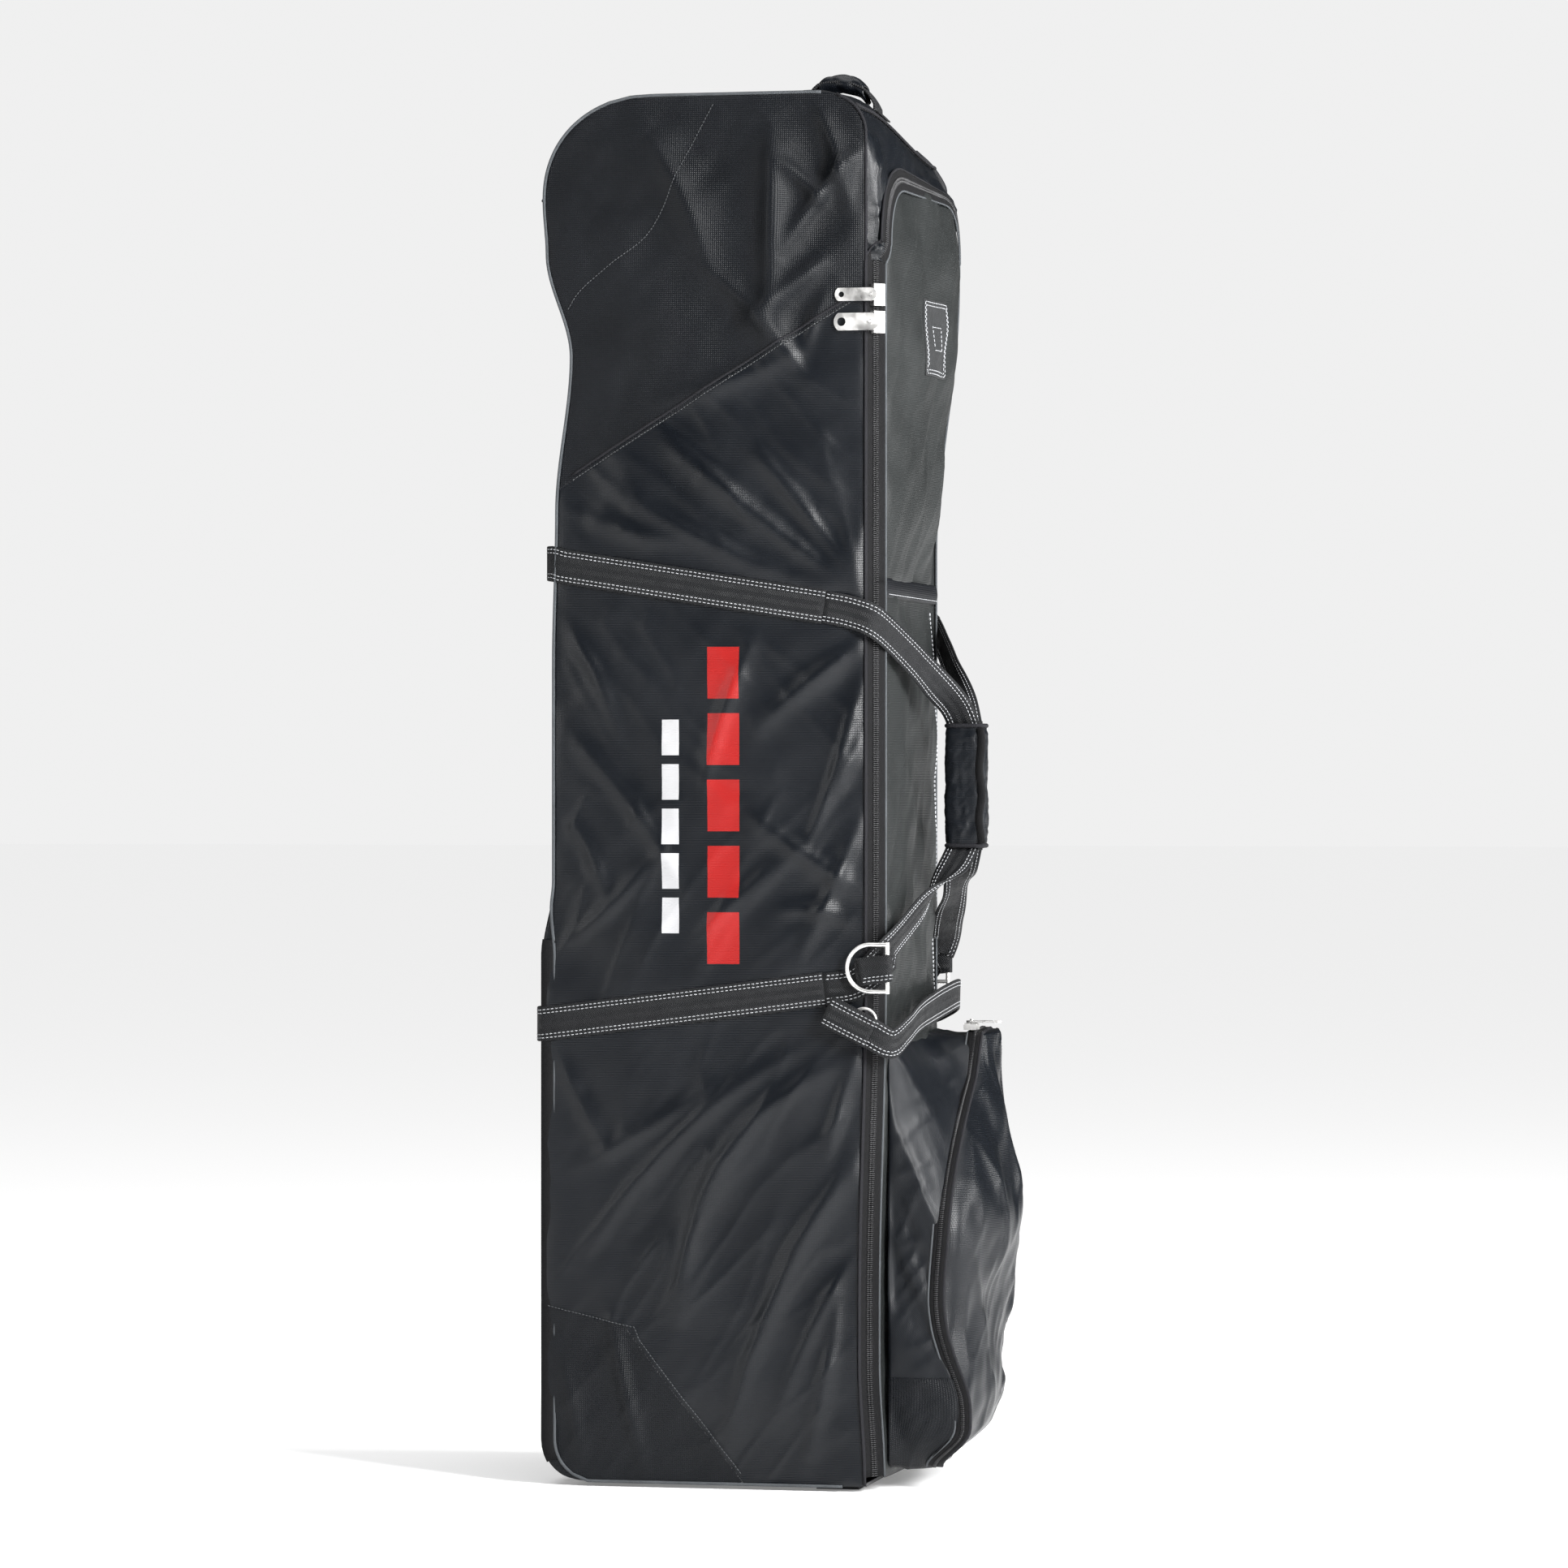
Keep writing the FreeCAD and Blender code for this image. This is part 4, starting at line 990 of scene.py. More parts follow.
def teeth(name, path, across, normals, body):
    """Small rounded bars of the coil, one per pitch along the path."""
    pitch, half_width = 1.9, 1.9
    run, along = run_of(path)
    where = np.arange(pitch / 2, run[-1], pitch)
    frames = [read_off(where, run, path)]
    frames += [unit(read_off(where, run, field)) for field in (along, across, normals)]
    shape = ((-1, -0.55, 0), (1, -0.55, 0), (1, 0.55, 0), (-1, 0.55, 0),
             (-0.8, -0.3, 1), (0.8, -0.3, 1), (0.8, 0.3, 1), (-0.8, 0.3, 1))
    bar = ((4, 5, 6, 7), (0, 1, 5, 4), (1, 2, 6, 5), (2, 3, 7, 6), (3, 0, 4, 7), (3, 2, 1, 0))
    points, faces, uvs = [], [], []
    for centre, ahead, right, up in zip(*frames):
        faces += [tuple(len(points) + k for k in face) for face in bar]
        for u, v, w in shape:
            points.append(at(*(centre + right * half_width * u + ahead * v + up * (0.9 * w - 0.3))))
            uvs.append((u * MM, v * MM))
    mesh_piece(name, points, faces, uvs, COIL, body)


def zip_half(name, path, normals, side, body, node=None):
    """Half of a zip, on the lid's side where side is 1: tape, coil, and the piping along the tape's edge."""
    width = 10.5
    _, along = run_of(path)
    across = unit(np.cross(along, normals)) * side
    middle = path + across * (width / 2 + 0.4) + normals * 0.6
    tape = strap(name, middle, -across * side, width, 1.2, TAPE, body)
    if node:
        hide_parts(node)
    teeth(name + "_coil", path + across * 1.5 + normals * 1.5, across, normals, body)
    cord(name + "_piping", path + across * (width + 0.8) + normals * 0.8, 1.1,
         PIPING if side > 0 else BLACK_BINDING, body)


def main_zip():
    path, normals = zip_line()
    low, high, near = path[:, 2] < FOLD + 7, path[:, 2] >= FOLD, path[:, 1] < 0
    zip_half("main_zip_outer", path, normals, -1, "case", "main_zip_tape")
    for name, pick in (("near", low & near), ("far", low & ~near)):
        zip_half(f"main_zip_inner_{name}", path[pick], normals[pick], 1, "case")
    zip_half("lid_zip_arch", path[high], normals[high], 1, "lid_flap", "lid_zip_tape")


# ---------------------------------------------------------------- shoe pocket

(_, _, POCKET_FOOT), _ = box_mm("pocket_panel")
_, (POCKET_RIM, POCKET_HALF, POCKET_HEAD) = box_mm("pocket_gusset_top")
POCKET_FOLDS = (
    ((74, 408), (30, 330), (22, 190), 12, 5.0), ((66, 330), (20, 260), (-30, 210), 9, 4.0),
    ((-40, 330), (-20, 230), (-66, 120), 9, 4.0), ((76, 210), (30, 150), (-10, 120), 9, 4.5),
    ((-95, 220), (-60, 160), (-40, 60), 8, 4.0), ((60, 110), (10, 90), (-50, 60), 8, 3.5),
    ((104, 360), (98, 250), (100, 150), 7, 3.5))
POCKET_SEAM = ((112, 414), (88, 340), (78, 240), (80, 150), (72, 90), (56, 26))


def pocket_near(z):
    """Near edge of the pocket's front, slumped away towards the top."""
    bend, slump = 34, 238
    low, shoulder = POCKET_FOOT + bend, POCKET_HEAD - 45
    if z < low:
        return bend - POCKET_HALF - math.sqrt(max(bend ** 2 - (low - z) ** 2, 0))
    share = max((z - slump) / (POCKET_HEAD - slump), 0)
    slope = -POCKET_HALF + 1.86 * POCKET_HALF * share ** 1.6
    if z <= shoulder:
        return slope
    return min(slope, 20 + 0.75 * (z - shoulder) + max(z - POCKET_HEAD + 2.5, 0) * 19)


def pocket_far(z):
    """Far edge of the pocket's front, drawn in towards the foot."""
    deep, tall, bend = 58, 150, 12
    low, high = POCKET_FOOT + tall, POCKET_HEAD - bend
    if z < low:
        return POCKET_HALF - deep + deep * math.sqrt(max(1 - ((low - z) / tall) ** 2, 0))
    if z > high:
        return POCKET_HALF - bend + math.sqrt(max(bend ** 2 - (z - high) ** 2, 0))
    return POCKET_HALF


def pocket_rim(z, y=-100):
    """How far out the zip round the pocket's front stands; it tucks in at the foot, most on the far side."""
    foot = 20 * smooth(z, 150, 75) - 32 * smooth(z, 58, 18) - 5 * smooth(z, 130, 175) * smooth(z, 260, 175)
    return POCKET_RIM - 1 + foot - 18 * smooth(z, 170, 75) * smooth(y, -20, 90)


def pocket_bulge(z):
    return 46 * smooth(z, POCKET_FOOT, 225) ** 0.8 * (1 - 0.72 * smooth(z, 230, POCKET_HEAD))


def pocket_front():
    """Outer panel of the pocket: crowned, slack, and sewn down the middle of its far half."""
    rows, columns, height = 84, 46, POCKET_HEAD - POCKET_FOOT
    panel = Panel()
    for share, part, rim in cells(rows, columns):
        z = POCKET_FOOT + height * (share - 0.5 * math.sin(2 * math.pi * share) / (2 * math.pi))
        near, far = pocket_near(z), pocket_far(z)
        y = (near + far) / 2 + (far - near) / 2 * part
        x = pocket_rim(z, y) + 1.5 + pocket_bulge(z) * (1 - abs(part) ** 2.6) ** 0.75
        panel.add((x, y, z), unit(np.array([1.0, 0.5 * part, 0.0])), 6 * fold_seed(y, z, 11),
                  (x * 1.01, y * 1.04, z * 1.025), rim, (y, z))

    def fine_folds(spots):
        creased = long_folds(spots[:, 1], spots[:, 2], POCKET_FOLDS)
        return creased + 1.2 * crumple(spots, 1.25, 47, size=30.0, drop=0)

    piece = panel.settle("pocket_front_cloth", grid_faces(rows, columns), SHINY, fine_folds,
                         ["pocket_panel"], "pocket_front", (-7.0, 7.0), lined=False)
    surface = Surface(piece)
    seam = spline([(POCKET_RIM + 90, y, z) for y, z in POCKET_SEAM], 4.0)
    cord("pocket_front_seam", surface.line(seam, (-1, 0, 0), 0.3), 1.0, BLACK_BINDING, "pocket_front")
    dashes("pocket_front_stitches", [surface.line(seam - (0, 4, 0), (-1, 0, 0), 0.4)], (1.0, 0, 0),
           DARK_THREAD, "pocket_front", pitch=3.4, length=2.3, radius=0.3)


def pocket_loops():
    """Matching loops of the gusset: round the rim of the pocket's front, and on the lid."""
    half, low, high, at_lid = POCKET_HALF, POCKET_FOOT, POCKET_HEAD, FRONT + 2.5
    levels = np.linspace(low + 0.2, high - 0.2, 120)
    foot = [(pocket_rim(low, y), y, low) for y in np.linspace(pocket_near(low), pocket_far(low), 30)]
    far = [(pocket_rim(z, 100), pocket_far(z), z) for z in levels]
    near = [(pocket_rim(z), pocket_near(z), z) for z in levels[::-1]]
    lid_foot = [(8 - half, low), (half - 8, low)]
    lid_far = [(half - 4, low), (half, low + 4), (half, high - 4)]
    lid_near = [(half - 6, high), (6 - half, high), (-half, high - 6), (-half, low + 6), (6 - half, low)]
    rim, lid = [], []
    for rim_part, lid_part, count in ((foot, lid_foot, 26), (far, lid_far, 52), (near, lid_near, 84)):
        for line, store in ((rim_part, rim), ([(at_lid, y, z) for y, z in lid_part], lid)):
            run = distances(np.array(line, float))
            store.append(read_off(run[-1] * np.arange(count) / count, run, np.array(line, float)))
    return np.vstack(rim), np.vstack(lid)


def pocket_gusset():
    """Side wall of the pocket; gives the rim that its zip follows."""
    rim, lid = pocket_loops()
    count, columns = len(rim), 13
    middle = np.array([0, 0, (POCKET_FOOT + POCKET_HEAD) / 2])
    panel = Panel()
    for index in range(count):
        for column in range(columns):
            t = column / (columns - 1)
            spot = lid[index] + (rim[index] - lid[index]) * t
            normal = unit((spot - middle) * (0, 1, 0.6) + (0, 0, 1e-3))
            spot = spot - normal * 5 * math.sin(math.pi * t) * smooth(spot[2], 300, 400)
            panel.add(spot, normal, 6 * fold_seed(index * 5, t * 55, 17), spot * 1.05,
                      column in (0, columns - 1), (53 * t, 7.5 * index))
    last = (count - 1) * columns
    faces = grid_faces(count, columns, True)
    faces += [(c, c + 1, last + c + 1, last + c) for c in range(columns - 1)]
    nodes = [f"pocket_gusset_{place}" for place in ("near", "far", "top", "bottom")]
    piece = panel.settle("pocket_gusset_cloth", faces, SHINY,
                         lambda spots: 1.4 * crumple(spots, 0.9, 53, size=22.0, stretch=2.6), nodes,
                         limits=(-7.0, 6.0), lined=False)
    overlay("pocket_foot_patch", piece, [((0, 0, 104), (0.0, 0, 1))], lift=0.7)
    return rim


def pocket_zip(rim):
    """Zip between the gusset and the front of the pocket, open along the bottom edge."""
    path = spaced(rim[26:], 5.0)
    normals = unit((path - (0, 0, 200)) * (0, 1, 0.8))
    edge = np.array([7.0, 0, 0])
    strap("pocket_zip_tape", path + normals * 1.6, (1, 0, 0), 13, 1.2, TAPE, "case")
    teeth("pocket_zip_coil", path + normals * 2.7, np.tile((1.0, 0, 0), (len(path), 1)), normals, "case")
    cord("pocket_piping", path + edge + normals, 1.6, BLACK_BINDING, "pocket_front")
    cord("pocket_lid_piping", path - edge + normals * 1.2, 1.3, PIPING)


# ---------------------------------------------------------------- webbing, grip, rings

LEG_START = 108.0                   # where the sewn bands become the free webbing of the handle
GRIP_LOW, GRIP_HIGH = box_mm("grip_wrap")
GRIP_X = (GRIP_LOW[0] + GRIP_HIGH[0]) / 2
RING_LOW, RING_HIGH = box_mm("d_ring_near")
RING_LEVEL = (RING_LOW[2] + RING_HIGH[2]) / 2
STRAP_LOW, STRAP_HIGH = box_mm("front_strap")
STRAP_LEVEL = (STRAP_LOW[2] + STRAP_HIGH[2]) / 2


def round_band(name, levels, node):
    """Webbing sewn round the near side, the back and the far side."""
    back = levels[0]
    sides = [(x, band_level(x, *levels)) for x in np.linspace(LEG_START, BACK + 16, 40)]
    half = [(x, -HALF - belly(x, z) - 1.4, z) for x, z in sides]
    depth = back_edge(back) - (8.5 if levels == LOWER else 12.5)
    half += [(back_edge(back) - 1, -HALF - 1.5, back), (depth + 3, 6 - HALF, back), (depth, 20 - HALF, back)]
    half += [(depth - 1, y, back) for y in np.linspace(-90, 0, 8)]
    piece, _ = webbing(name, spaced(half + [(x, -y, z) for x, y, z in half[::-1][1:]], 6.0), (0, 0, -1))
    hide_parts(node)


def handle_leg(label, name, path, share, turned, ends):
    """One free webbing of the handle; share runs from 0 at the band to 1 at the grip."""
    across = np.array([unit(np.array([0.35 * s + 0.9 * f, 0.0, 1.0 - 0.05 * s - 0.62 * f]))
                       for s, f in zip(share, turned)])
    lean = unit(np.array([1.0, 0.0, 0.25 if label == "upper" else -0.25]))
    twist = np.array([smooth(s, 0.55, 1.0) for s in share])[:, None]
    across = unit(across * (1 - twist) + lean * twist)
    pieces = webbing(f"handle_{label}_{name}", path, across, width=WEB - 2, both=True)
    for piece in pieces:
        bends(piece, "case", "carry_grip", *ends)
    return pieces[0]


def handle_legs(side, name):
    """Free webbing from the bands' ends on the side, over the corner, to the grip."""
    y = side * HALF
    high, low = ((LEG_START, y + side * (belly(LEG_START, level) + 1.4), level)
                 for level in (band_level(LEG_START, *levels) for levels in (UPPER, LOWER)))
    upper = spline([high, (134, y + side * 6.0, 806.5), (156, y + side * 2.5, 797), (176, y * 0.72, 772),
                    (194, y * 0.40, 744), (207, y * 0.14, 722), (GRIP_X, side * 5.0, 700)], 5.0)
    lower = spline([(GRIP_X, side * 5.0, 596), (206, y * 0.16, 574), (192, y * 0.42, 547),
                    (178, y * 0.72, 520), (168, y * 0.98, 500), (158, y + side * 3.5, 484),
                    (136, y + side * 5.5, 466), low], 5.0)
    share = np.linspace(0, 1, len(upper))
    leg = handle_leg("upper", name, upper, share, 0 * share, (upper[int(len(upper) * 0.3)], upper[-3]))
    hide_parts(f"handle_web_{name}")
    share = np.linspace(1, 0, len(lower))
    turned = [smooth(s, 0.12, 0.32) * (1 - smooth(s, 0.5, 0.8)) if side > 0 else 0.0 for s in share]
    handle_leg("lower", name, lower, share, turned, (lower[int(len(lower) * 0.7)], lower[2]))


def squarish(turn):
    """Place on a square with round corners, for a turn about its middle."""
    c, s = math.cos(turn), math.sin(turn)
    reach = (abs(c) ** 4.5 + abs(s) ** 4.5) ** (-1 / 4.5)
    return reach * c, reach * s


def grip():
    """Padded sleeve round both webbings, a little gathered, with bound ends and a closing edge."""
    rows, columns = 60, 64
    half_x, half_y = (GRIP_HIGH[0] - GRIP_LOW[0]) / 2 - 1.5, (GRIP_HIGH[1] - GRIP_LOW[1]) / 2 + 1
    points, uvs = [], []
    for row in range(rows):
        t = row / (rows - 1)
        z = GRIP_LOW[2] + (GRIP_HIGH[2] - GRIP_LOW[2]) * t
        pull = 1 - 0.06 * math.cos(math.pi * (2 * t - 1)) ** 8 + 0.03 * math.sin(math.pi * t)
        for column in range(columns):
            turn = 2 * math.pi * column / columns
            c, s = math.cos(turn), math.sin(turn)
            u, v = squarish(turn)
            crinkle = 0.8 * noise.noise(Vector((3 * c, 3 * s, z * 0.05)))
            crinkle += 1.6 * abs(noise.noise(Vector((6 * c, 6 * s, z * 0.14 + 4))))
            points.append(at(GRIP_X + half_x * u * pull + crinkle * c, half_y * v * pull + crinkle * s, z))
            uvs.append((turn * 0.017, z * MM))
    faces = tube_faces(rows, columns, capped=False)
    sleeve = mesh_piece("grip_sleeve", points, faces, uvs, SHINY, "carry_grip")
    finish_panel(sleeve, ["grip_wrap"], 4.0)
    outline = [squarish(2 * math.pi * k / 40) for k in range(40)]
    for label, z in (("low", GRIP_LOW[2] + 2), ("high", GRIP_HIGH[2] - 2)):
        ring = [(GRIP_X + half_x * u * 0.96, half_y * v * 0.96, z) for u, v in outline]
        cord(f"grip_binding_{label}", ring, 2.2, BLACK_BINDING, "carry_grip", closed=True)
    edge = [(GRIP_HIGH[0] - 4 + 1.2 * math.sin(z * 0.13), -half_y - 0.4 + 0.3 * math.sin(z * 0.2), z)
            for z in np.linspace(GRIP_LOW[2] + 4, GRIP_HIGH[2] - 4, 24)]
    strap("grip_closing_edge", edge, (1, 0, 0), 7, 1.6, TAPE, "carry_grip")
    for index, y in enumerate((-4.5, 4.5)):
        path = spline([(GRIP_X, y, GRIP_LOW[2] - 2), (GRIP_X + 1, y, 648),
                       (GRIP_X, y, GRIP_HIGH[2] + 2)], 10)
        piece = strap(f"grip_web_{index}", path, (1, 0, 0), WEB - 3, 2.4, WEBBING, "carry_grip")
        if index == 0:
            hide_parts("grip_webs")


def ring_loops(side, name):
    """Webbing folded round the D-ring's bar and the small ring, sewn down on the side."""
    def folded(label, x, level, turns, width):
        path = spline([(x + along, side * (HALF + out), level + up) for along, out, up in turns], 2.5)
        return webbing(f"{label}_loop_{name}", path, (0, 0, side), width=width, rows=2)[0]

    bar = ((-30, 9.5, -4), (-16, 8.6, -2), (-3, 7.4, 0), (2.6, 8.4, 0), (3.8, 11, 0), (1.8, 14.2, 0),
           (-4, 14.4, -1), (-14, 12.6, -2), (-26, 12, -4))
    piece = folded("d_ring", RING_HIGH[0] - 2, RING_LEVEL, bar, 25)
    if side < 0:
        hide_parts("ring_tabs")
    small = ((-22, 8.6, 0), (-10, 7.6, 0), (1, 7.4, 0), (4.2, 10, 0), (1, 12.6, 0), (-10, 11, 0))
    folded("small_ring", box_mm("strap_rings")[0][0], STRAP_LEVEL, small, 17)


def front_strap():
    """Short strap that droops at the near corner and crosses the front to the far ring."""
    y, level = HALF, STRAP_LEVEL
    path = spline([(112, -y - 14.5, level + 10), (130, -y - 15.5, level + 1), (154, -y - 15, level - 12),
                   (172, -y - 8, level - 21), (182, 16 - y, level - 10), (186, 52 - y, level + 1),
                   (188, -30, level + 8), (189, 40, level + 14), (188, 96, level + 17),
                   (182, y - 8, level + 14), (168, y + 6, level + 7), (154, y + 12, level + 1),
                   (146, y + 13, level)], 5.0)
    across = [unit(np.array([0.12 * math.sin(k * 0.1), 0.0, 1.0])) for k in range(len(path))]
    piece, _ = webbing("front_strap_web", path, across, "strap", 28, both=True)
    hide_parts("front_strap")
    back = spline([(154, -y - 18, level - 12), (132, -y - 19.5, level - 1),
                   (112, -y - 18.5, level + 9)], 4.0)
    webbing("front_strap_fold", back, (-0.1, 0, -1), "strap", 28)


def grab_handle():
    """Gathered webbing loop on the top."""
    low, high = box_mm("top_handle")
    start, finish, foot, top = low[0] + 3, high[0] - 3, low[2], high[2]
    path = spline([(start, 0, foot + 1), (start - 1, 0, foot + 9), (start + 8, 0, top + 4),
                   (start + 20, 0, top + 7), ((start + finish) / 2, 0, top + 8), (finish - 20, 0, top + 7),
                   (finish - 8, 0, top + 3), (finish + 1, 0, foot + 9), (finish, 0, foot + 1)], 4.0)
    piece = strap("grab_handle_web", path, (0, 1, 0), 22, 2.4, WEBBING, "grab_handle", sag=0.8)
    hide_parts("top_handle")
    rows, columns = 40, 28
    points, uvs = [], []
    for row in range(rows):
        t = row / (rows - 1)
        x = start + 9 + (finish - start - 18) * t
        arch = top + 7.5 - 7 * abs(2 * t - 1) ** 3
        for column in range(columns):
            turn = 2 * math.pi * column / columns
            c, s = math.cos(turn), math.sin(turn)
            ruck = 2.2 * noise.noise(Vector((x * 0.06, 1.6 * c, 1.6 * s)))
            ruck += 1.2 * abs(math.sin(x * 0.19 + 0.9 * s))
            points.append(at(x, (10 + ruck) * c, arch + (8 + ruck) * s))
            uvs.append((turn * 0.01, x * MM))
    faces = tube_faces(rows, columns, capped=False)
    wrap = mesh_piece("grab_handle_wrap", points, faces, uvs, SHINY, "grab_handle")
    finish_panel(wrap, thick=2.0)
    for index, middle in enumerate((start, finish)):
        pad = spline([(middle - 7, 0, TOP + 3.6), (middle, 0, TOP + 4.2), (middle + 7, 0, TOP + 3.6)], 4.0)
        piece, _ = webbing(f"grab_handle_foot_{index}", pad, (0, 1, 0), width=36)
        if index == 0:
            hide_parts("top_handle_feet")


# ---------------------------------------------------------------- lid details and inside

def badge(surface):
    """Plain woven patch with stitched squares."""
    (_, low_y, low_z), (_, high_y, high_z) = box_mm("lid_badge")
    half, count = (high_y - low_y) / 2 - 2, 15

    def on_patch(u, v):
        return (low_y + high_y) / 2 + half * u, (low_z + high_z) / 2 + half * v

    def on_lid(places, lift):
        return surface.line([(FRONT + 60, y, z) for y, z in places], (-1, 0, 0), lift)

    places = [on_patch(part, 2 * share - 1) for share, part, _ in cells(count, count)]
    points = [at(*spot) for spot in on_lid(places, 0.8)]
    uvs = [(y * MM, z * MM) for y, z in places]
    piece = mesh_piece("plain_badge", points, grid_faces(count, count), uvs, BADGE, "lid_flap")
    finish_panel(piece, ["lid_badge"], 1.0)
    outline = [(u + (w - u) * t, v + (h - v) * t)
               for u, v, w, h in ((-1, -1, 1, -1), (1, -1, 1, 1), (1, 1, -1, 1), (-1, 1, -1, -1))
               for t in np.linspace(0, 1, 20, endpoint=False)]
    outline.append(outline[0])
    rims = [on_lid([on_patch(size * u, size * v) for u, v in outline], 1.4) for size in (0.93, 0.84, 0.3)]
    dashes("badge_stitches", rims, (1.0, 0, 0), THREAD, "lid_flap", radius=0.5)


def fold_hem():
    """Soft strip that joins the lower lid and the folding lid along their seam."""
    rows, columns = 13, 44
    places = [(FRONT + 1.2 + 1.6 * math.sin(math.pi * t), (LID_HALF + 1) * part, FOLD - 9 + 18 * t)
              for t, part, _ in cells(rows, columns)]
    points, uvs = [at(*place) for place in places], [(y * MM, z * MM) for _, y, z in places]
    piece = mesh_piece("lid_fold_hem", points, grid_faces(rows, columns), uvs, HEAVY, "case")
    finish_panel(piece, thick=1.0)
    bends(piece, "case", "lid_flap", (FRONT, 0, FOLD - 7), (FRONT, 0, FOLD + 7))


def lid_seams(surface):
    """Double stitched line down the far part of the lower lid, and the seam at the fold."""
    levels = np.linspace(432, FOLD - 14, 90)
    lines = [surface.line([(FRONT + 60, y, z) for z in levels], (-1, 0, 0), 0.5) for y in (104, 109)]
    lines.append(np.array([(FRONT + 3.6, y, FOLD - 6) for y in np.linspace(-120, 120, 60)]))
    dashes("lid_stitches", lines, (1.0, 0, 0), THREAD)


def quilt_pad(name, low, high, thin, node=None):
    """Quilted pad that fills a flat box; thin is the axis through it."""
    wide, quilts = [axis for axis in range(3) if axis != thin], 5
    across, up = (max(int((high[axis] - low[axis]) / 9), 8) for axis in wide)
    points, uvs = [], []
    for way in (-1, 1):
        for share, part, _ in cells(up + 1, across + 1):
            u, v = (part + 1) / 2, share
            spot = [(a + b) / 2 for a, b in zip(low, high)]
            for axis, t in zip(wide, (u, v)):
                spot[axis] = low[axis] + (high[axis] - low[axis]) * t
            tuft = abs(math.sin(math.pi * u * quilts) * math.sin(math.pi * v * quilts)) ** 0.4
            puff = min(min(u, 1 - u, v, 1 - v) * 12, 1) ** 0.5 * (0.72 + 0.28 * tuft)
            spot[thin] += way * (high[thin] - low[thin]) / 2 * max(puff, 0.05)
            points.append(at(*spot))
            uvs.append((spot[wide[0]] * MM, spot[wide[1]] * MM))
    row, total = across + 1, (across + 1) * (up + 1)
    faces = grid_faces(up + 1, row, True)
    faces += [tuple(index + total for index in face) for face in grid_faces(up + 1, row)]
    rim = [*range(row), *range(row + across, total, row)]
    rim += [*range(total - 2, total - row - 1, -1), *range(total - 2 * row, 0, -row)]
    faces += [(a, b, b + total, a + total) for a, b in zip(rim, rim[1:] + rim[:1])]
    piece = mesh_piece(name, points, faces, uvs, HEAVY)
    if node:
        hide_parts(node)


def inside():
    """Quilted pads at the head, and the webbing of the two inner straps."""
    quilt_pad("head_quilt_top", *box_mm("head_pad_top"), 2, "head_pad_top")
    low, high = box_mm("head_pad_sides")
    for side, name, node in ((-1, "near", "head_pad_sides"), (1, "far", None)):
        start, finish = sorted((side * high[1], side * (high[1] - 6)))
        quilt_pad(f"head_quilt_{name}", (low[0], start, low[2]), (high[0], finish, high[2]), 1, node)
    low, high = box_mm("inner_straps")
    x = (low[0] + high[0]) / 2
    for level, place in ((low[2] + 12, "lower"), (high[2] - 12, "upper")):
        near = spline([(x, low[1] + 1, level), (x - 1, -90, level - 2), (x, -50, level), (x, -27, level)], 6)
        piece = strap(f"inner_strap_near_{place}", near, (0, 0, 1), 24, 1.8, WEBBING, "case")
        if place == "lower":
            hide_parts("inner_straps")
        far = spline([(x, 24, level), (x, 45, level - 2), (x - 1, 90, level - 4),
                      (x, high[1] - 1, level)], 6)
        web = strap(f"inner_strap_far_{place}", far, (0, 0, 1), 24, 1.8, WEBBING, "case")
        bends(web, "case", f"buckle_{place}", (x, high[1] - 5, level), (x, 26, level))


# ---------------------------------------------------------------- CAD nodes that stay

DRESSES = (
    (MOULDING, 0, ("skid_base", "wheel_housing_near", "wheel_housing_far", "buckle_sockets",
                   "buckle_plug_lower", "buckle_plug_upper")),
    (MOULDING, 1.2, ("skid_rails",)),
    (BOARD, 0, ("base_panel", "base_board", "back_board")),
    (RUBBER, 1.0, ("front_feet",)),
    (TYRE, 0, ("tyre_near", "tyre_far")),
    (HUB, 0.5, ("hub_near", "hub_far")),
    (STEEL, 0.3, ("axle_near", "axle_far", "bearings_near", "bearings_far", "skid_rivets")),
    (NICKEL, 0.8, ("slider_lower", "slider_upper", "pocket_slider")),
    (NICKEL, 0.5, ("pull_lower", "pull_upper", "pocket_pull")),
    (NICKEL, 0, ("d_ring_near", "d_ring_far", "strap_rings")))


def dress_nodes():
    """Material, and softer edges of a width in millimetres, for the CAD nodes."""
    for material, bevel, names in DRESSES:
        for name in names:
            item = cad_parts[name]
            item.data.materials.clear()
            item.data.materials.append(material)
            if bevel:
                soft = item.modifiers.new("Soft", "BEVEL")
                soft.width, soft.segments, soft.harden_normals = bevel * MM, 2, True
                soft.limit_method, soft.angle_limit = "ANGLE", math.radians(40)


# ---------------------------------------------------------------- the whole case

near_side = side_panel("side_cloth_near", -1, "side_panel_near")
far_side = side_panel("side_cloth_far", 1, "side_panel_far")
side_trim(-1, "near", near_side)
side_trim(1, "far", far_side)

back_path = [(back_edge(z), z) for z in np.linspace(499, SHOULDER, 100)]
wrap_panel("back_cloth", back_path, 21, "upper_back_panel", bands=(UPPER[0],), drop=0)
shoulder = SHOULDER + (TOP - SHOULDER) * np.sin(np.linspace(0, math.pi / 2, 22))
top_path = [(back_edge(z), z) for z in shoulder] + [(x, TOP) for x in np.linspace(-52, 106, 22)]
top_path += [(front_edge(z), z) for z in (1283, 1280, 1275)]
wrap_panel("top_cloth", top_path, 27, "top_panel", HEAVY, bulge=1.5)
for name, x, z in (("shoulder_seam", back_edge(SHOULDER) - 1.5, SHOULDER),
                   ("head_seam", front_edge(TOP - 10) + 1, TOP - 9)):
    cord(name, [(x, y, z) for y in np.linspace(2 - HALF, HALF - 2, 60)], 1.7, BLACK_BINDING)

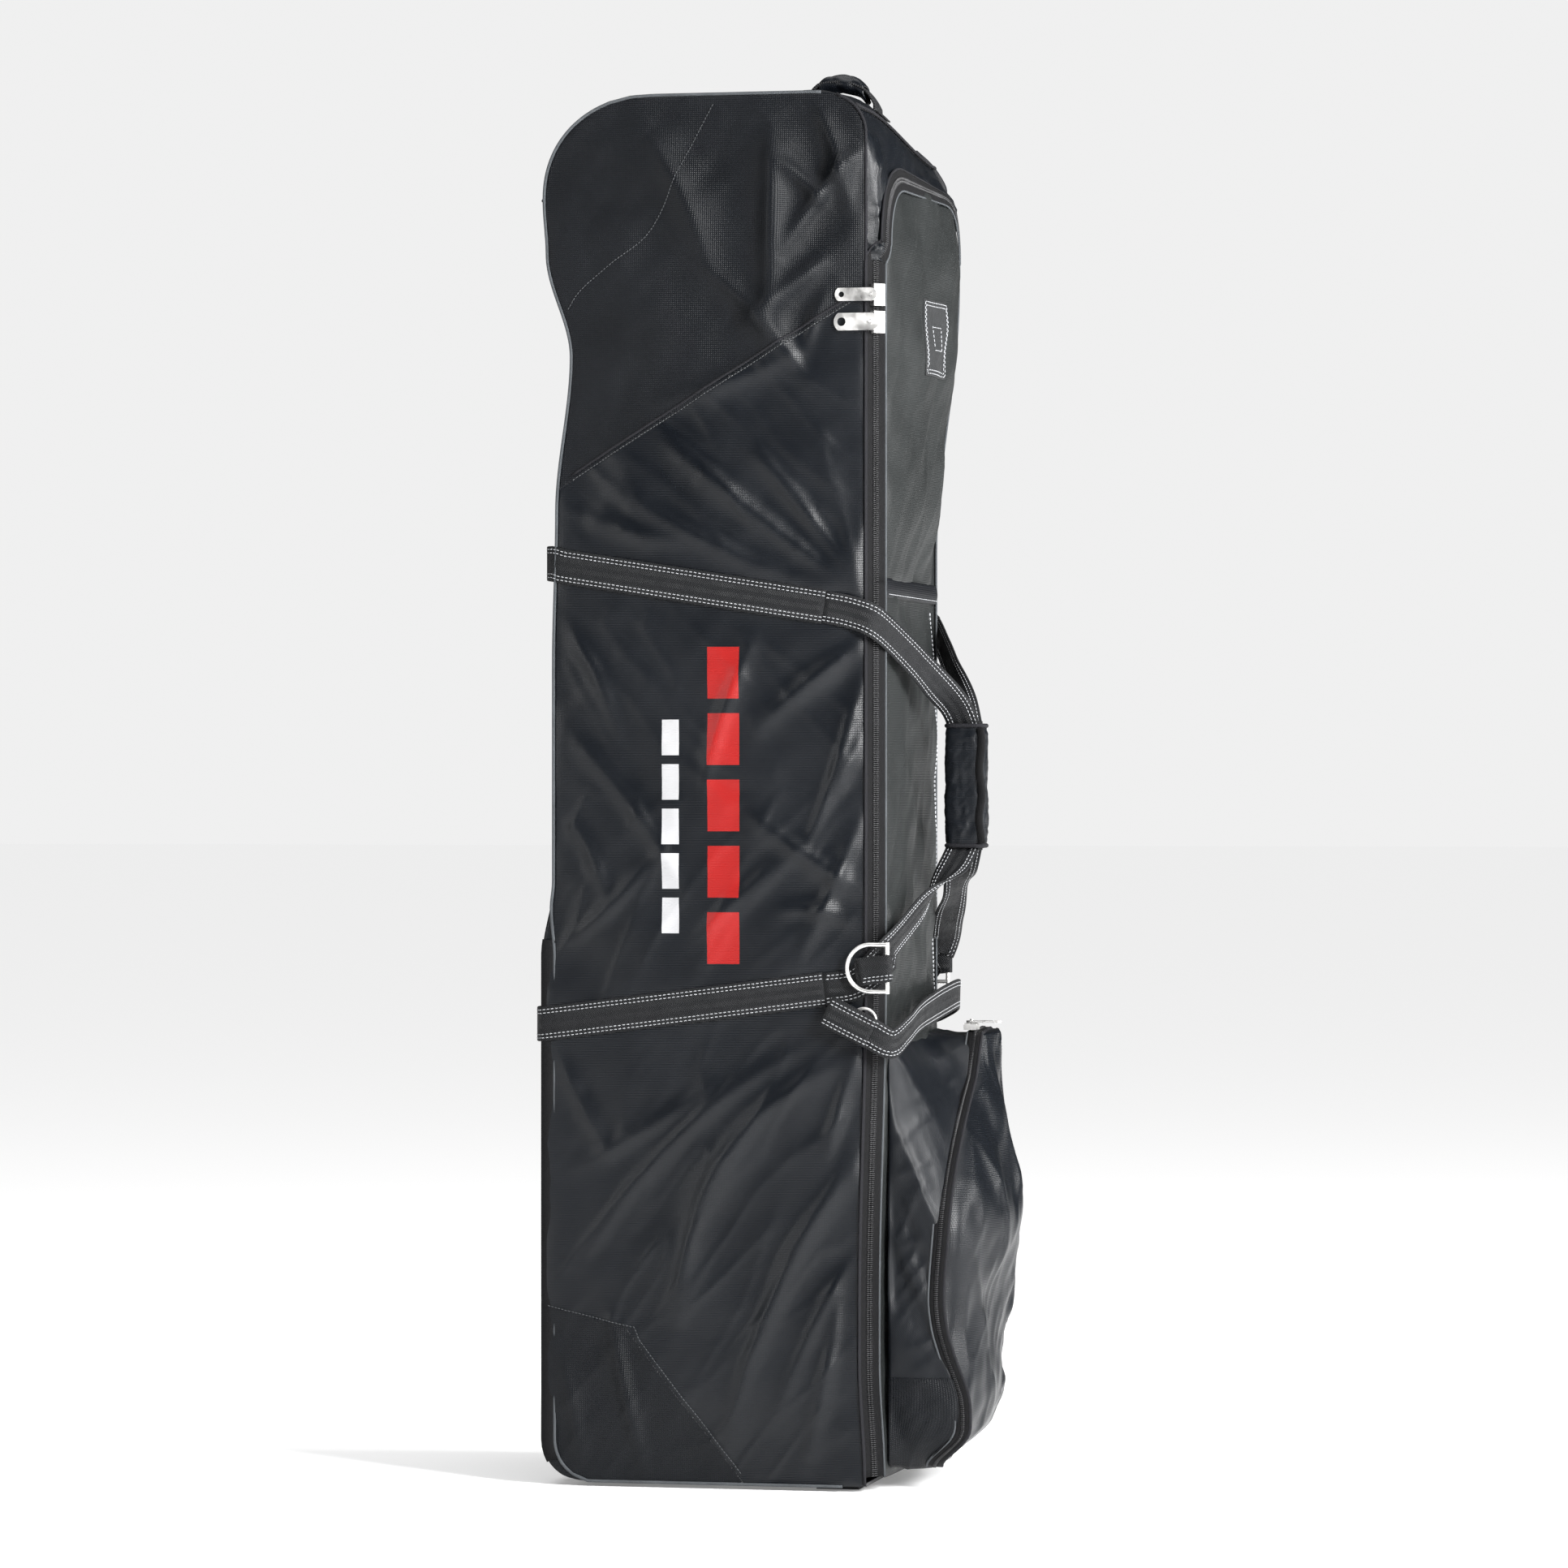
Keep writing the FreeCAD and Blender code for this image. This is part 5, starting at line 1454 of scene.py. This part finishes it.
lower_lid = lid_panel("lower_lid_cloth", LID_FOOT, FOLD - 3, "case", "lower_lid_panel", 31, 9.0, 110)
flap = lid_panel("lid_flap_cloth", FOLD + 3, LID_TOP - 0.3, "lid_flap", "lid_flap_panel", 37, 15.0, 62)
head_front()
main_zip()
fold_hem()
lid_seams(Surface(lower_lid))
badge(Surface(flap))

pocket_front()
pocket_zip(pocket_gusset())

round_band("upper_band", UPPER, "upper_webbing")
round_band("lower_band", LOWER, "lower_webbing")
handle_legs(-1, "near")
handle_legs(1, "far")
grip()
ring_loops(-1, "near")
ring_loops(1, "far")
front_strap()
grab_handle()
inside()
dress_nodes()


# ---------------------------------------------------------------- stage, light and camera

def make_stage():
    """Pale floor and pale surroundings; only the camera sees the surroundings at full strength."""
    size = 60.0
    mesh = bpy.data.meshes.new("floor")
    mesh.from_pydata([(-size, -size, 0), (size, -size, 0), (size, size, 0), (-size, size, 0)], [],
                     [(0, 1, 2, 3)])
    floor = bpy.data.objects.new("floor", mesh)
    bpy.context.collection.objects.link(floor)
    paint = Paint("pale_floor", (0.93, 0.93, 0.93), 0.95, specular=0.05)
    paint.shader.inputs["Emission Color"].default_value = (1.0, 1.0, 1.0, 1)
    paint.shader.inputs["Emission Strength"].default_value = 0.2
    mesh.materials.append(paint.material)
    world = bpy.data.worlds.new("studio")
    bpy.context.scene.world = world
    world.use_nodes = True
    nodes, links = world.node_tree.nodes, world.node_tree.links
    background = nodes["Background"]
    background.inputs["Color"].default_value = (1.0, 1.0, 1.0, 1)
    seen = nodes.new("ShaderNodeLightPath")
    strength = nodes.new("ShaderNodeMapRange")
    strength.inputs["To Min"].default_value = 0.05
    strength.inputs["To Max"].default_value = 0.87
    links.new(seen.outputs["Is Camera Ray"], strength.inputs["Value"])
    links.new(strength.outputs["Result"], background.inputs["Strength"])


def stand(item, place, aim):
    """Put a lamp or the camera in its place, turned to what it looks at."""
    item.location = place
    item.rotation_euler = (Vector(aim) - Vector(place)).to_track_quat("-Z", "Y").to_euler()
    bpy.context.collection.objects.link(item)


def area_light(name, place, aim, width, height, power):
    lamp = bpy.data.lights.new(name, "AREA")
    lamp.shape = "RECTANGLE"
    lamp.size, lamp.size_y, lamp.energy = width, height, power
    stand(bpy.data.objects.new(name, lamp), place, aim)


def overhead(strength):
    """Even light from above, for the floor and the tops of the folds."""
    lamp = bpy.data.lights.new("overhead", "SUN")
    lamp.energy, lamp.angle = strength, math.radians(60)
    bpy.context.collection.objects.link(bpy.data.objects.new("overhead", lamp))


def make_camera():
    """Square on to the side, turned a little towards the lid, from far off."""
    turn, distance, target = math.radians(12.0), 6.0, Vector((0.0, 0.0, 0.6495))
    camera = bpy.data.cameras.new("camera")
    camera.lens, camera.sensor_width = 146.3, 36.0
    item = bpy.data.objects.new("camera", camera)
    stand(item, target + Vector((math.sin(turn), -math.cos(turn), 0)) * distance, target)
    bpy.context.scene.camera = item


make_stage()
make_camera()
overhead(2.1)
area_light("key", (2.5, -2.0, 1.9), (0, 0, 0.7), 0.5, 1.6, 250)
area_light("rim", (-2.8, -2.2, 1.8), (0, 0, 0.7), 0.4, 2.0, 36)
area_light("front", (3.2, 0.4, 1.4), (0, 0, 0.6), 0.5, 1.8, 80)
bpy.context.scene.view_settings.view_transform = "Standard"
